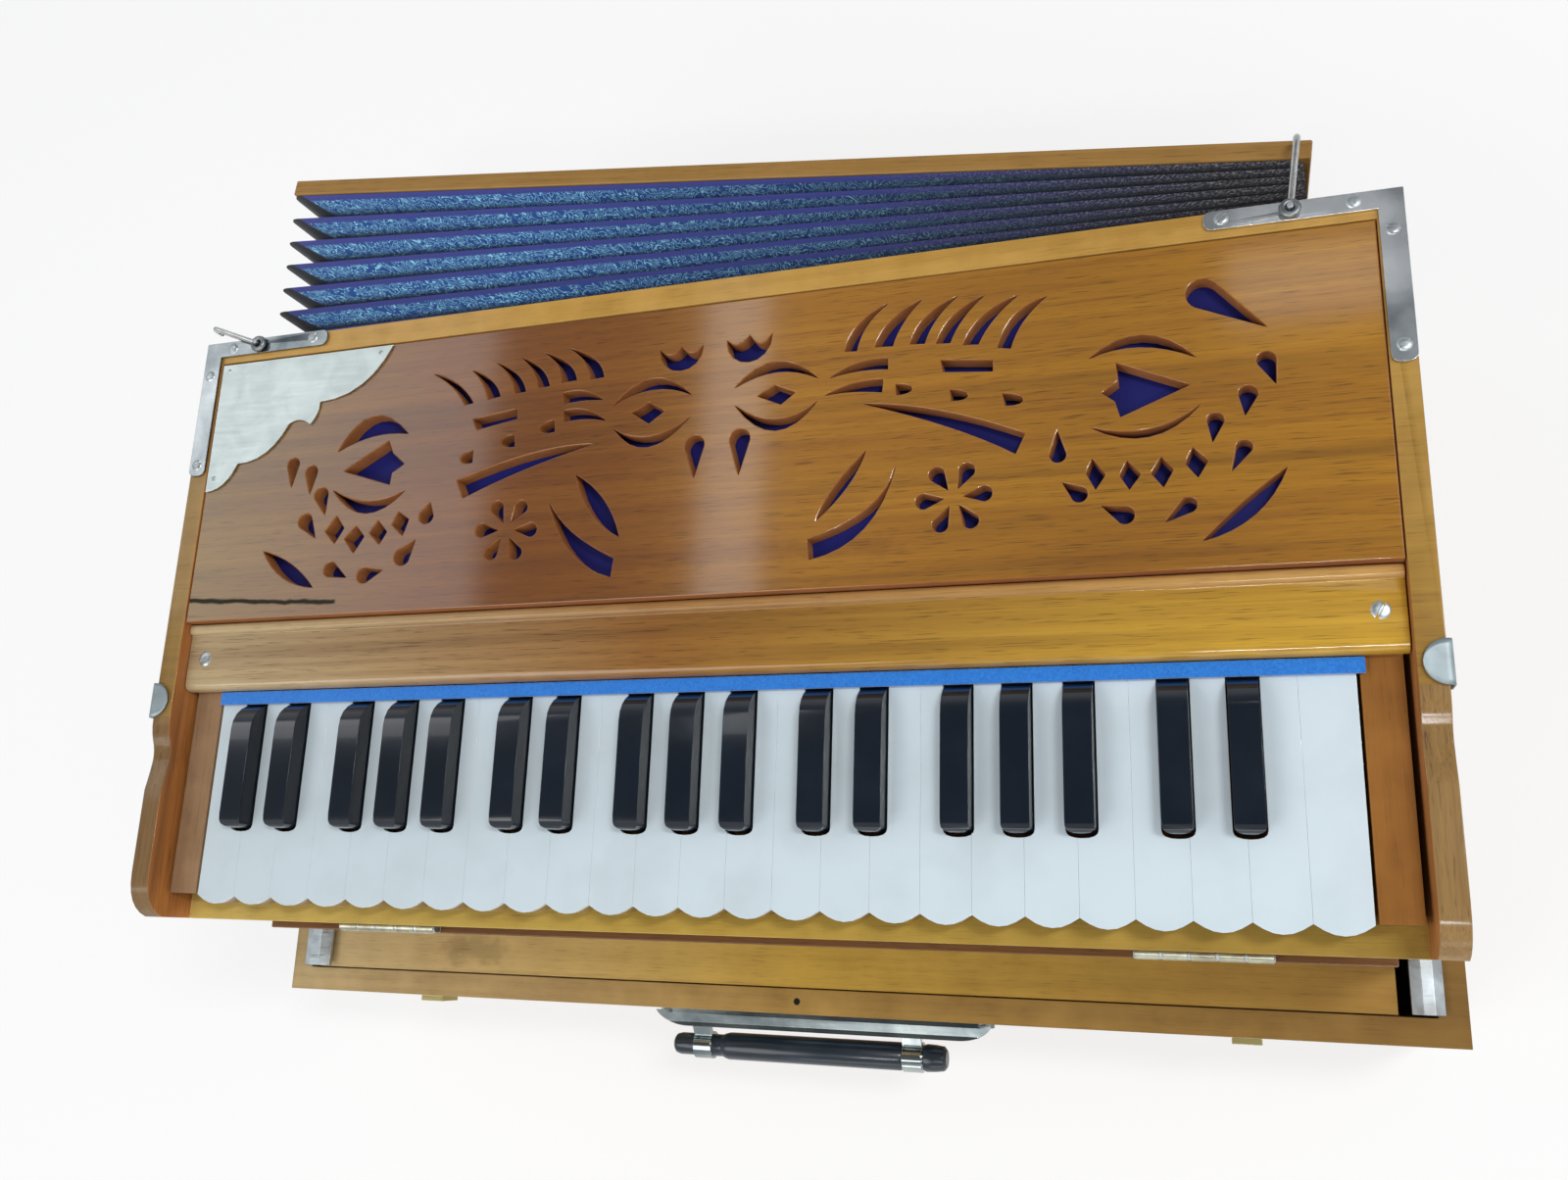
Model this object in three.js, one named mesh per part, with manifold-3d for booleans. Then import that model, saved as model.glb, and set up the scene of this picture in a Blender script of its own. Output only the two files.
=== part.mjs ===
// A folding Indian harmonium: its keyboard body stands raised above a lower carrying case.
// Millimetres, +Z up, +Y to the rear. The origin is the middle of the case's underside.
import * as THREE from 'three';
import { mergeVertices } from 'three/addons/utils/BufferGeometryUtils.js';
import Module from 'manifold-3d';

const wasm = await Module();
wasm.setup();

// Clearances and the overrun that every cut takes past the faces it opens
const seatGap = 0.3;
const overrun = 4;

// Keyboard: the pitch sets the scale of the whole instrument
const whitePitch = 20.5;
const whiteCount = 25;
const keyGap = 0.7;
const whiteThickness = 11;
const scallopDepth = 4;
const blackWidth = 11.2;
const blackNotchWidth = 12.4;
const blackNotchFront = 29.6;
const blackFront = 30.9;
const blackRise = 9.3;
const blackFrontRound = 6;
const blackRearSlope = 13;
const keyTailWidth = 6.4;
const keyTailTop = 4;
const keyTailEnd = 190;
const keyPivotY = 112;
const palletLength = 26;
const octaveCount = 7;
const plainJunctions = [0, 3];
// How far each black key stands from the seam of the whites beside it, as shares of the pitch
const blackShiftShares = [-0.03, 0.19, -0.06, 0.12, 0.31, 0.01, 0.2, -0.09, 0.07,
  0.25, -0.12, 0.04, -0.25, -0.1, 0.08, -0.19, 0.05];
const keyboardHalf = whitePitch * whiteCount / 2;

// Where the body stands over the case: from the case's front face and above its rim
const keyboardSetback = 47.6;
const caseRearRoom = 49.4;
const bodyRise = 136;
const bodySideClearance = 5.2;
const restStand = 6;

// Body of the instrument, measured from the key fronts and the key tops
const cheekThickness = 10.2;
const blockKeyGap = 1.25;
const blockWidth = 15;
const blockCheekGap = 2.6;
const blockInner = keyboardHalf + blockKeyGap;
const blockOuter = blockInner + blockWidth;
const bodyInner = blockOuter + blockCheekGap;
const bodyHalfWidth = bodyInner + cheekThickness;
const bodyFront = -11;
const bodyRear = 279;
const rearPanelThickness = 11.5;
const rimTop = 13.9;
const cheekBottom = restStand - bodyRise;
const cheekRound = 4;
const cheekNoseTop = 4;
const cheekFrontTop = 12.5;
const cheekDipTop = 10;
const cheekNoseLength = 20;
const cheekDipFront = 60;
const cheekDipBack = 83;
const bodyUnderside = -65;
const bottomThickness = 7;
const frontRailDepth = 15.5;
const frontRailTop = -18;
const battenWidth = 9;
const battenHeight = 6;

// Lower carrying case, made to take the body between its walls
const caseWall = 12.2;
const caseWidth = (bodyHalfWidth + bodySideClearance + caseWall) * 2;
const caseDepth = keyboardSetback + bodyRear + caseRearRoom;
const caseHeight = 110;
const caseFloor = 9;
const catchWidth = 13;
const catchHeight = 16;
const catchStandOff = 3;
const catchDrop = 2;
const catchInset = 91.2;
const catchPlace = caseWidth / 2 - catchInset;
const ledgeEndGap = 0.4;
const ledgeHalf = bodyInner - ledgeEndGap;
const ledgeLeftReach = 11;
const ledgeBodyGap = 0.7;
const ledgeDrop = 1.1;
const ledgeThickness = 14;
const ledgeSeam = 0.6;
const ledgeSeamDepth = 4;

// Key bed with its balance rail and the blocks at the keyboard's ends
const bedTop = -20;
const bedThickness = 14;
const bedFront = 5;
const balanceRailDepth = 9;
const blockFront = 0.5;
const blockRear = 95;

// Name rail, felt and fret panel
const keyReach = 90.2;
const feltDepth = 6.5;
const panelSideGap = 0.5;
const railDepth = 27.5;
const beadDepth = 5.4;
const railFront = keyReach + feltDepth;
const railRear = railFront + railDepth;
const railHalfWidth = bodyInner - panelSideGap;
const railBottom = 2;
const railTop = 8;
const railRound = 4.5;
const beadTop = 10.6;
const beadRear = railRear + beadDepth;
const feltThickness = 1.8;
const feltLift = 0.8;
const feltLeftOverhang = 0.25;
const feltRightOverhang = 3.25;
const feltLeft = -keyboardHalf - feltLeftOverhang;
const feltRight = keyboardHalf + feltRightOverhang;
const panelEndGap = 0.4;
const panelHalfWidth = bodyInner - panelSideGap;
const panelFront = beadRear + panelEndGap;
const panelRear = bodyRear - rearPanelThickness - panelEndGap;
const panelTop = 13.4;
const panelThickness = 7.4;

// Metal on the rim
const plateThickness = 1.2;
const plateRearLegLength = 74.5;
const plateRearLegEnd = bodyHalfWidth - plateRearLegLength;
const plateRearLegDepth = 8.2;
const plateSideLegWidth = 9.6;
const plateSideLegLength = 73;
const plateSideLegEnd = bodyRear - plateSideLegLength;
const plateEndRound = 3.6;
const hookWire = 1.4;
const hookArm = 33;
const hookEyeRadius = 3;
const hookPinRadius = 1.2;
const hookPinHeight = 4.6;
const hookTipDrop = 5.6;
const hookBend = 3;
const rightHookInset = 41.5;
const leftHookInset = 33.8;
const rightHookX = bodyHalfWidth - rightHookInset;
const leftHookX = leftHookInset - bodyHalfWidth;
const hookY = bodyRear - plateRearLegDepth / 2;
const rightHookTurn = THREE.MathUtils.degToRad(81.9);
const leftHookTurn = THREE.MathUtils.degToRad(158);
const blankThickness = 1.1;

// Bellows at the rear
const bellowsPivotInset = 23.3;
const bellowsPivotOffset = 23;
const bellowsPivotX = bodyHalfWidth - bellowsPivotInset;
const bellowsPivotY = bodyRear + bellowsPivotOffset;
const bellowsOpenTurn = THREE.MathUtils.degToRad(7.27);
const boardLength = 509;
const boardThickness = 8.5;
const boardTop = 8;
const boardBottom = -126;
const boardEndInset = 8;
const boardInnerOffset = 1.6;
const foldCount = 6;
const foldDepth = 13;
const foldTop = 7.2;
const foldBottom = -122;
const foldEndInset = 2.2;
const foldLeftReach = 1.5;
const foldRootShare = 0.05;
const cornersPerRing = 4;
const strapHeight = 9;
const strapThickness = 2;
const strapReach = 14;
const strapBarrel = 3.2;
const strapPin = 1.4;
const strapPlaceShares = [0.2, 0.52];

// Front flap and its hinges
const flapSideGap = 5.1;
const flapHalfWidth = bodyInner - flapSideGap;
const flapFootGap = 0.5;
const flapThickness = 6.4;
const flapTopGap = 3.6;
const flapHingeInset = 74;
const flapHingePlace = flapHalfWidth - flapHingeInset;
const flapHingeLength = 56;
const flapBarrel = 2.6;
const flapPinDrop = flapBarrel + seatGap * 2;
const flapLength = bodyRise + ledgeDrop + bodyUnderside - flapPinDrop - flapFootGap;
const flapPinStandOff = 0.9;
const flapFaceStep = 2.4;

// Steel rests that carry the body on the case's side walls
const restShort = 2;
const restRightShort = 5;
const restRoom = bodySideClearance + cheekThickness;
const restWallLap = 3;
const restThickness = 2;
const restSkirt = 32;
const restFrontGap = 1.2;
const restCrownShare = 0.32;
const restSlope = 2.6;

// Carrying handle on the case's front
const handlePlateHalf = 88;
const handlePlateShift = 7;
const handlePlateHeight = 20;
const handlePlateThickness = 2.4;
const handleDrop = 19;
const handlePinOffset = 6;
const hoodReach = 9.2;
const hoodEnd = 17;
const hoodTop = 9.4;
const hoodLip = 6;
const hoodLipWidth = 2.2;
const hoodSheet = 1.4;
const lugThickness = 3;
const lugSpan = 15;
const lugPlace = 56;
const lugRadius = 2.9;
const pinRadius = 1.8;
const pinClearance = 0.35;
const gripHalf = 73;
const gripOffset = 19;
const gripShift = -3;
const gripDrop = 9;
const gripRadius = 6.9;
// Outline of the core, its caps and the sleeve, as shares of the grip's half length and radius
const gripOutlineShares = [[-1, 0.5], [-0.985, 0.7], [-0.95, 0.8], [-0.63, 0.8], [-0.61, 0.9], [-0.58, 0.99],
  [0, 1], [0.68, 0.99], [0.7, 0.87], [0.84, 0.87], [0.86, 0.97], [0.92, 0.94], [0.98, 0.86], [1, 0.6]];
const loopHugShares = [0.8, 0.87];
const loopWidth = 10;
const loopThickness = 1.3;

// Colours seen in the photograph
function finish(color, roughness, metalness) {
  return new THREE.MeshStandardMaterial({ color, roughness, metalness });
}
const teak = finish(0xb5742f, 0.35, 0);
const darkTeak = finish(0x9a5f28, 0.45, 0);
const ivory = finish(0xdfe6f5, 0.15, 0);
const ebony = finish(0x14161c, 0.12, 0);
const blueFelt = finish(0x1f55b8, 0.95, 0);
const steel = finish(0xb9bdc2, 0.35, 1);
const chrome = finish(0xd6d9dd, 0.12, 1);
const blackPlastic = finish(0x101010, 0.3, 0);
const bellowsCloth = finish(0x27456e, 0.8, 0);

// Turning three.js geometry into closed solids and back
function toSolid(geometry) {
  const bare = geometry.clone();
  bare.deleteAttribute('normal');
  bare.deleteAttribute('uv');
  const merged = mergeVertices(bare);
  return new wasm.Manifold(new wasm.Mesh({
    numProp: 3,
    vertProperties: new Float32Array(merged.attributes.position.array),
    triVerts: new Uint32Array(merged.index.array),
  }));
}

function toGeometry(solid) {
  const mesh = solid.getMesh();
  const geometry = new THREE.BufferGeometry();
  const positions = new THREE.BufferAttribute(new Float32Array(mesh.vertProperties), 3);
  geometry.setAttribute('position', positions);
  geometry.setIndex(new THREE.BufferAttribute(new Uint32Array(mesh.triVerts), 1));
  const flat = geometry.toNonIndexed();
  flat.computeVertexNormals();
  return flat;
}

function join(geometries) {
  return geometries.map(toSolid).reduce((whole, piece) => whole.add(piece));
}

function block(x0, x1, y0, y1, z0, z1) {
  const geometry = new THREE.BoxGeometry(x1 - x0, y1 - y0, z1 - z0);
  return geometry.translate((x0 + x1) / 2, (y0 + y1) / 2, (z0 + z1) / 2);
}

function shapeOf(points) {
  return new THREE.Shape(points.map(([x, y]) => new THREE.Vector2(x, y)));
}

// A plan outline stood up between two heights
function slab(shape, z0, z1, curveSegments = 6) {
  const settings = { depth: z1 - z0, bevelEnabled: false, curveSegments };
  return new THREE.ExtrudeGeometry(shape, settings).translate(0, 0, z0);
}

// A side outline, drawn with Y across and Z up, run along X
function moulding(shape, x0, x1, curveSegments = 6) {
  const settings = { depth: x1 - x0, bevelEnabled: false, curveSegments };
  const geometry = new THREE.ExtrudeGeometry(shape, settings);
  return geometry.rotateX(Math.PI / 2).rotateZ(Math.PI / 2).translate(x0, 0, 0);
}

function rodAlongX(radius, length, x, y, z, sides = 12) {
  return new THREE.CylinderGeometry(radius, radius, length, sides).rotateZ(Math.PI / 2).translate(x, y, z);
}

function rodAlongZ(radius, length, x, y, z, sides = 12) {
  return new THREE.CylinderGeometry(radius, radius, length, sides).rotateX(Math.PI / 2).translate(x, y, z);
}

const harmonium = new THREE.Group();
const body = new THREE.Group();
const keyFrontY = keyboardSetback - caseDepth / 2;
const keyTopZ = caseHeight + bodyRise;
body.position.set(0, keyFrontY, keyTopZ);
harmonium.add(body);

function place(name, geometry, material, group) {
  const mesh = new THREE.Mesh(geometry, material);
  mesh.name = name;
  group.add(mesh);
  return mesh;
}

// The case is an open box, with a brass catch plate on its front near each end
function caseBox() {
  const x = caseWidth / 2;
  const y = caseDepth / 2;
  const outer = toSolid(block(-x, x, -y, y, 0, caseHeight));
  const hollow = block(caseWall - x, x - caseWall, caseWall - y, y - caseWall,
    caseFloor, caseHeight + overrun);
  let walls = outer.subtract(toSolid(hollow));
  for (const side of [-1, 1]) {
    const middle = side * catchPlace;
    const low = caseHeight - catchDrop - catchHeight;
    const plate = block(middle - catchWidth / 2, middle + catchWidth / 2, -y - catchStandOff, caseWall / 2 - y,
      low, low + catchHeight);
    walls = walls.add(toSolid(plate));
  }
  const front = caseWall - y;
  const ledgeTop = caseHeight - ledgeDrop;
  const ledgeDepth = keyboardSetback - caseWall + bodyFront - ledgeBodyGap;
  const left = -ledgeHalf - ledgeLeftReach;
  const ledge = block(left, ledgeHalf, front - ledgeDrop, front + ledgeDepth,
    ledgeTop - ledgeThickness, ledgeTop);
  const seam = block(left, ledgeHalf, front, front + ledgeSeam,
    ledgeTop - ledgeSeamDepth, ledgeTop + overrun);
  return toGeometry(walls.add(toSolid(ledge)).subtract(toSolid(seam)));
}

// A bent steel rail along a side wall; the cheek above stands on its crown
function restRail(side) {
  const wallX = caseWidth / 2 - caseWall - seatGap;
  const top = keyTopZ + cheekBottom - seatGap;
  const front = caseWall - caseDepth / 2 + restFrontGap;
  const rear = keyFrontY + bodyRear;
  const outer = -wallX - restWallLap;
  const inner = restRoom - wallX - (side < 0 ? restShort : restRightShort);
  const crown = (inner - outer) * restCrownShare;
  const shape = new THREE.Shape();
  shape.moveTo(outer, top - restSlope);
  shape.lineTo(outer + crown, top);
  shape.lineTo(inner - crown, top);
  shape.lineTo(inner, top - restSlope);
  shape.lineTo(inner, top - restSlope - restThickness);
  shape.lineTo(inner - crown, top - restThickness);
  shape.lineTo(outer + crown, top - restThickness);
  shape.lineTo(outer, top - restSlope - restThickness);
  const arch = moulding(shape, front, rear).rotateZ(Math.PI / 2);
  const skirt = block(wallX - restThickness, wallX, front, rear, top - restSkirt, top - restSlope);
  const rail = toGeometry(join([arch, skirt]));
  return side > 0 ? rail : rail.rotateZ(Math.PI).translate(0, front + rear, 0);
}

// Side outline of a cheek: level at the rear, a dip near the name rail, rounded down at its nose
function cheekShape() {
  const noseFace = cheekNoseTop - cheekRound;
  const shape = new THREE.Shape();
  shape.moveTo(bodyRear, cheekBottom);
  shape.lineTo(bodyRear, rimTop);
  shape.lineTo(cheekDipBack, rimTop);
  const middle = (cheekDipBack + cheekDipFront) / 2;
  shape.bezierCurveTo(middle, rimTop, middle, cheekDipTop, cheekDipFront + cheekRound, cheekDipTop);
  shape.quadraticCurveTo(cheekDipFront, cheekDipTop, cheekDipFront - cheekRound * 3, cheekFrontTop);
  shape.lineTo(bodyFront + cheekNoseLength, cheekFrontTop);
  shape.quadraticCurveTo(bodyFront + cheekRound, cheekFrontTop, bodyFront, noseFace);
  shape.lineTo(bodyFront, cheekBottom);
  return shape;
}

// Cheeks, rear panel, bottom board and front rail, with battens that carry the fret panel
function carcass() {
  const inner = bodyInner;
  const lap = cheekThickness / 2;
  const rear = bodyRear - rearPanelThickness;
  const battenTop = panelTop - panelThickness - seatGap;
  const parts = [
    moulding(cheekShape(), inner, bodyHalfWidth),
    moulding(cheekShape(), -bodyHalfWidth, -inner),
    block(-inner - lap, inner + lap, rear, bodyRear, cheekBottom, rimTop),
    block(-inner - lap, inner + lap, bodyFront, bodyRear - lap,
      bodyUnderside, bodyUnderside + bottomThickness),
    block(-inner - lap, inner + lap, bodyFront, bodyFront + frontRailDepth, bodyUnderside, frontRailTop),
    block(-inner - lap, inner + lap, rear - battenWidth, rear + lap, battenTop - battenHeight, battenTop),
  ];
  for (const side of [-1, 1]) {
    const x0 = Math.min(side * (inner - battenWidth), side * (inner + lap));
    const x1 = Math.max(side * (inner - battenWidth), side * (inner + lap));
    parts.push(block(x0, x1, panelFront, bodyRear - lap, battenTop - battenHeight, battenTop));
  }
  const heights = strapPlaceShares.map((share) => THREE.MathUtils.lerp(boardBottom, boardTop, share));
  const straps = heights.map((height) => strapBracket(height));
  return toGeometry(parts.map(toSolid).concat(straps).reduce((whole, piece) => whole.add(piece)));
}

// A steel arm from the rear panel that holds an upright hinge pin of the bellows board
function strapBracket(seat) {
  const arm = block(bellowsPivotX - strapBarrel, bellowsPivotX + strapBarrel, bodyRear - strapBarrel,
    bellowsPivotY + strapBarrel, seat - strapHeight, seat);
  const low = seat - strapHeight / 2;
  const high = seat + strapHeight;
  const pin = rodAlongZ(strapPin, high - low, bellowsPivotX, bellowsPivotY, (low + high) / 2);
  return toSolid(arm).add(toSolid(pin));
}

// Key bed with its balance rail, and the blocks that close the keyboard's ends
function keyBed() {
  const inner = bodyInner - seatGap;
  const rear = bodyRear - rearPanelThickness - seatGap;
  const railTopZ = -whiteThickness - seatGap;
  const lap = bedThickness / 2;
  const parts = [
    block(-inner, inner, bedFront, rear, bedTop - bedThickness, bedTop),
    block(-keyboardHalf, keyboardHalf, keyPivotY - balanceRailDepth / 2, keyPivotY + balanceRailDepth / 2,
      bedTop - lap, railTopZ),
  ];
  for (const side of [-1, 1]) {
    const x0 = side > 0 ? blockInner : -blockOuter;
    const x1 = side > 0 ? blockOuter : -blockInner;
    parts.push(block(x0, x1, bedFront, blockRear, bedTop - lap, 0));
    parts.push(block(x0, x1, blockFront, blockRear, frontRailTop + seatGap, 0));
    parts.push(block(x0, x1, blockRear - lap, railRear, bedTop - lap, railBottom - seatGap - feltThickness));
    parts.push(block(x0, x1, railFront, railRear, bedTop - lap, railBottom - seatGap));
  }
  return toGeometry(join(parts));
}

function hasBlackKey(junction) {
  const inOctave = junction % octaveCount;
  return junction > 0 && junction < whiteCount && !plainJunctions.includes(inOctave);
}

// A key's lever runs back over the balance rail to the pallet that shuts its reed hole
function keyTail(x) {
  const half = keyTailWidth / 2;
  const lever = block(x - half, x + half, keyReach, keyTailEnd, -whiteThickness, -keyTailTop);
  const pallet = block(x - half, x + half, keyTailEnd - palletLength, keyTailEnd,
    bedTop + seatGap, -keyTailTop);
  return toSolid(lever).add(toSolid(pallet));
}

// The middle of the black key at a seam, counted from the left
function blackPlace(junction) {
  const before = Array.from({ length: junction }, (_, index) => index).filter(hasBlackKey).length;
  return (junction + blackShiftShares[before]) * whitePitch - keyboardHalf;
}

// Plan outline with straight sides and a round front
function roundFronted(middle, half, front, rear) {
  const shape = new THREE.Shape();
  shape.moveTo(middle - half, rear);
  shape.lineTo(middle - half, front + half / 2);
  shape.quadraticCurveTo(middle - half, front, middle, front);
  shape.quadraticCurveTo(middle + half, front, middle + half, front + half / 2);
  shape.lineTo(middle + half, rear);
  return shape;
}

// A white key: a round lip in front, a notch for each black key beside it, and its lever behind
function whiteKey(index) {
  const left = index * whitePitch - keyboardHalf + keyGap / 2;
  const right = left + whitePitch - keyGap;
  const rear = railFront - seatGap;
  const shape = new THREE.Shape();
  shape.moveTo(left, 0);
  shape.quadraticCurveTo((left + right) / 2, -scallopDepth * 2, right, 0);
  shape.lineTo(right, rear);
  shape.lineTo(left, rear);
  const half = blackNotchWidth / 2;
  let top = toSolid(slab(shape, -whiteThickness, 0));
  for (const junction of [index, index + 1].filter(hasBlackKey)) {
    const notch = roundFronted(blackPlace(junction), half, blackNotchFront, railFront + overrun);
    top = top.subtract(toSolid(slab(notch, -whiteThickness - overrun, overrun, 4)));
  }
  const tailLeft = hasBlackKey(index) ? Math.max(left, blackPlace(index) + half) : left;
  const tailRight = hasBlackKey(index + 1) ? Math.min(right, blackPlace(index + 1) - half) : right;
  return toGeometry(top.add(keyTail((tailLeft + tailRight) / 2)));
}

// A black key rises in a curve from under the felt, runs level and rounds down at its front
function blackKey(junction) {
  const middle = blackPlace(junction);
  const half = blackWidth / 2;
  const side = new THREE.Shape();
  side.moveTo(blackFront, -whiteThickness);
  side.lineTo(blackFront, blackRise - blackFrontRound);
  side.quadraticCurveTo(blackFront, blackRise, blackFront + blackFrontRound, blackRise);
  side.lineTo(keyReach - blackRearSlope, blackRise);
  side.quadraticCurveTo(keyReach - blackRearSlope / 3, blackRise, keyReach - seatGap, 0);
  side.lineTo(railFront - seatGap, 0);
  side.lineTo(railFront - seatGap, -whiteThickness);
  const plan = roundFronted(middle, half, blackFront, railFront);
  const profile = toSolid(moulding(side, middle - half, middle + half, 4));
  const outline = toSolid(slab(plan, -whiteThickness - overrun, blackRise + overrun, 4));
  return toGeometry(profile.intersect(outline).add(keyTail(middle)));
}

// Name rail: a rounded front edge, a flat top and a bead at its back
function nameRail() {
  const shape = new THREE.Shape();
  shape.moveTo(railFront, railBottom);
  shape.lineTo(railFront, railTop - railRound);
  shape.quadraticCurveTo(railFront, railTop, railFront + railRound, railTop);
  shape.lineTo(railRear, railTop);
  shape.bezierCurveTo(railRear, beadTop, beadRear, beadTop, beadRear, railTop);
  shape.lineTo(beadRear, railBottom);
  return moulding(shape, -railHalfWidth, railHalfWidth);
}

function feltStrip() {
  return block(feltLeft, feltRight, keyReach, railFront - seatGap, feltLift, feltLift + feltThickness);
}

// The fretwork is drawn on squares counted from the panel's middle and from its front edge
const fretColumns = 275;
const fretRows = 138;
const fretCurveSteps = 8;
const dropTurnShare = 0.55;

function fretPoint([column, row]) {
  const x = panelHalfWidth * column / fretColumns;
  const y = panelFront + (panelRear - panelFront) * row / fretRows;
  return [x, y];
}

// A bow between two tips: one side bulges through the first control point, the other through the second
function bowHole([tipA, outer, tipB, inner]) {
  const points = [tipA, outer, tipB, inner].map(fretPoint);
  const path = new THREE.Path();
  path.moveTo(...points[0]);
  path.quadraticCurveTo(...points[1], ...points[2]);
  path.quadraticCurveTo(...points[3], ...points[0]);
  return path;
}

// A drop is round at one end and runs to a point at the other
function dropHole([roundColumn, roundRow, tipColumn, tipRow, roundSquares]) {
  const middle = fretPoint([roundColumn, roundRow]);
  const tip = fretPoint([tipColumn, tipRow]);
  const radius = panelHalfWidth * roundSquares / fretColumns;
  const away = Math.atan2(middle[1] - tip[1], middle[0] - tip[0]);
  const start = away - Math.PI * dropTurnShare;
  const path = new THREE.Path();
  path.moveTo(...tip);
  path.lineTo(middle[0] + radius * Math.cos(start), middle[1] + radius * Math.sin(start));
  path.absarc(...middle, radius, start, away + Math.PI * dropTurnShare, false);
  return path;
}

function straightHole(corners) {
  return new THREE.Path(corners.map((corner) => new THREE.Vector2(...fretPoint(corner))));
}

// A feather starts at a point, bends over and ends in a square foot
function bentHole([tip, outer, footA, footB, inner]) {
  const points = [tip, outer, footA, footB, inner].map(fretPoint);
  const path = new THREE.Path();
  path.moveTo(...points[0]);
  path.quadraticCurveTo(...points[1], ...points[2]);
  path.lineTo(...points[3]);
  path.quadraticCurveTo(...points[4], ...points[0]);
  return path;
}

// A bowl with three lobes along its upper edge
function bowlHole([left, right, bottom, lobe]) {
  const [x0, y0] = fretPoint(left);
  const [x1, y1] = fretPoint(right);
  const [, yLow] = fretPoint(bottom);
  const [, yLobe] = fretPoint(lobe);
  const middle = (x0 + x1) / 2;
  const path = new THREE.Path();
  path.moveTo(x0, y0);
  path.bezierCurveTo(x0, yLow, x1, yLow, x1, y1);
  path.quadraticCurveTo((middle + x1) / 2, 2 * yLobe - y1 - (y1 - yLobe) / 4, middle, y1);
  path.quadraticCurveTo((middle + x0) / 2, 2 * yLobe - y0 - (y0 - yLobe) / 4, x0, y0);
  return path;
}

const bowShares = [
  [[-197.5, 83], [-181, 114], [-158, 89], [-178, 93]],
  [[-197.5, 63], [-178, 38], [-156, 60], [-177, 50]],
  [[-234, 34], [-215, 29], [-202.5, 14], [-223, 16]],
  [[-50, 92], [-31, 115], [-10.5, 94], [-30, 104]],
  [[-48.5, 81], [-32, 59], [-10.5, 83.5], [-31, 69]],
  [[-66, 60.5], [-48, 50], [-42, 29], [-60, 38]],
  [[164, 91.5], [186, 110], [206, 87.5], [184, 99.5]],
  [[164, 61.5], [188, 46.5], [207, 67.5], [188, 53]],
  [[205, 11], [228, 16], [237, 38.5], [219, 26]],
  [[10, 95], [29, 116], [49, 95.5], [30, 106]],
  [[10.5, 86.5], [30, 60], [49, 85], [30, 70.5]],
  [[71, 60], [66, 44], [49.5, 30], [54, 44]],
];
const bentShares = [
  [[-147, 119], [-131, 114], [-123.5, 101.5], [-128, 101], [-134, 112]],
  [[-125.5, 118.5], [-112, 113], [-109, 103.5], [-115.5, 102.5], [-118, 112]],
  [[-112.5, 121], [-98, 115], [-95.5, 104.5], [-101.5, 104], [-103, 114]],
  [[-99, 122], [-86, 117], [-83, 106], [-89, 105.5], [-91, 115]],
  [[-87.5, 123.5], [-71, 118], [-69, 107.5], [-77, 107], [-77, 117]],
  [[-74, 124], [-57, 119], [-55, 107.5], [-62, 107], [-64, 118]],
  [[148, 122], [132, 119], [127, 101], [132.5, 100], [136, 113]],
  [[136, 124], [119, 120], [112.5, 104], [119, 103.5], [124, 115]],
  [[122, 126], [106, 121], [101, 106], [107, 105.5], [111, 117]],
  [[110.5, 127], [94, 122], [89.5, 107], [96, 106.5], [99, 118]],
  [[95, 127.5], [79, 122], [74, 107.5], [82, 107], [85, 118]],
  [[80, 127.5], [64, 122], [60.5, 107], [66, 106.5], [68, 119]],
  [[-54.5, 96], [-64, 104], [-76, 101.5], [-75, 96], [-64, 97.5]],
  [[-52.5, 85.5], [-62, 94.5], [-75, 92.5], [-74, 87], [-62, 88.5]],
  [[54, 95], [66, 103.5], [80, 101.5], [80, 96.5], [66, 98]],
  [[52, 87], [64, 93.5], [78, 92], [77.5, 86], [64, 88.5]],
  [[-58, 74.5], [-85, 77], [-128, 62.5], [-124, 53.5], [-95, 66]],
  [[69, 81.5], [100, 79], [138, 61.5], [134, 53], [110, 68]],
  [[-78.5, 48], [-69, 31], [-44, 19.5], [-45, 10.5], [-70, 18]],
  [[84, 52], [79, 31], [46, 22], [47, 13], [76, 18]],
];
const dropShares = [
  [-223, 78.5, -222.5, 66.5, 3.4], [-211.5, 73.5, -211, 62, 3.4], [-204, 61, -200.5, 50.5, 3.9],
  [-211.5, 48, -204.5, 39, 3.9], [-193.5, 22.5, -184, 18, 3.6], [-174, 18.5, -164, 20.5, 3.8],
  [-154, 26.5, -147.5, 34.5, 4.2], [-143, 46, -141.5, 52.5, 3.8], [-8, 69.5, -7.5, 54, 4.7],
  [13.5, 70.5, 13.5, 53.5, 4.7], [209.5, 115, 233, 97.5, 6.4], [232, 83.5, 235, 73, 3.6],
  [224.5, 70, 223, 61, 3.6], [212, 60, 210.5, 51, 3.2], [222, 48, 217, 38.5, 3],
  [151, 51, 151, 61.5, 3.3], [159, 33.5, 152.5, 39, 3.3], [176.5, 23.5, 167.5, 28, 3.6],
  [200.5, 26, 191.5, 19.5, 3.1],
];
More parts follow.
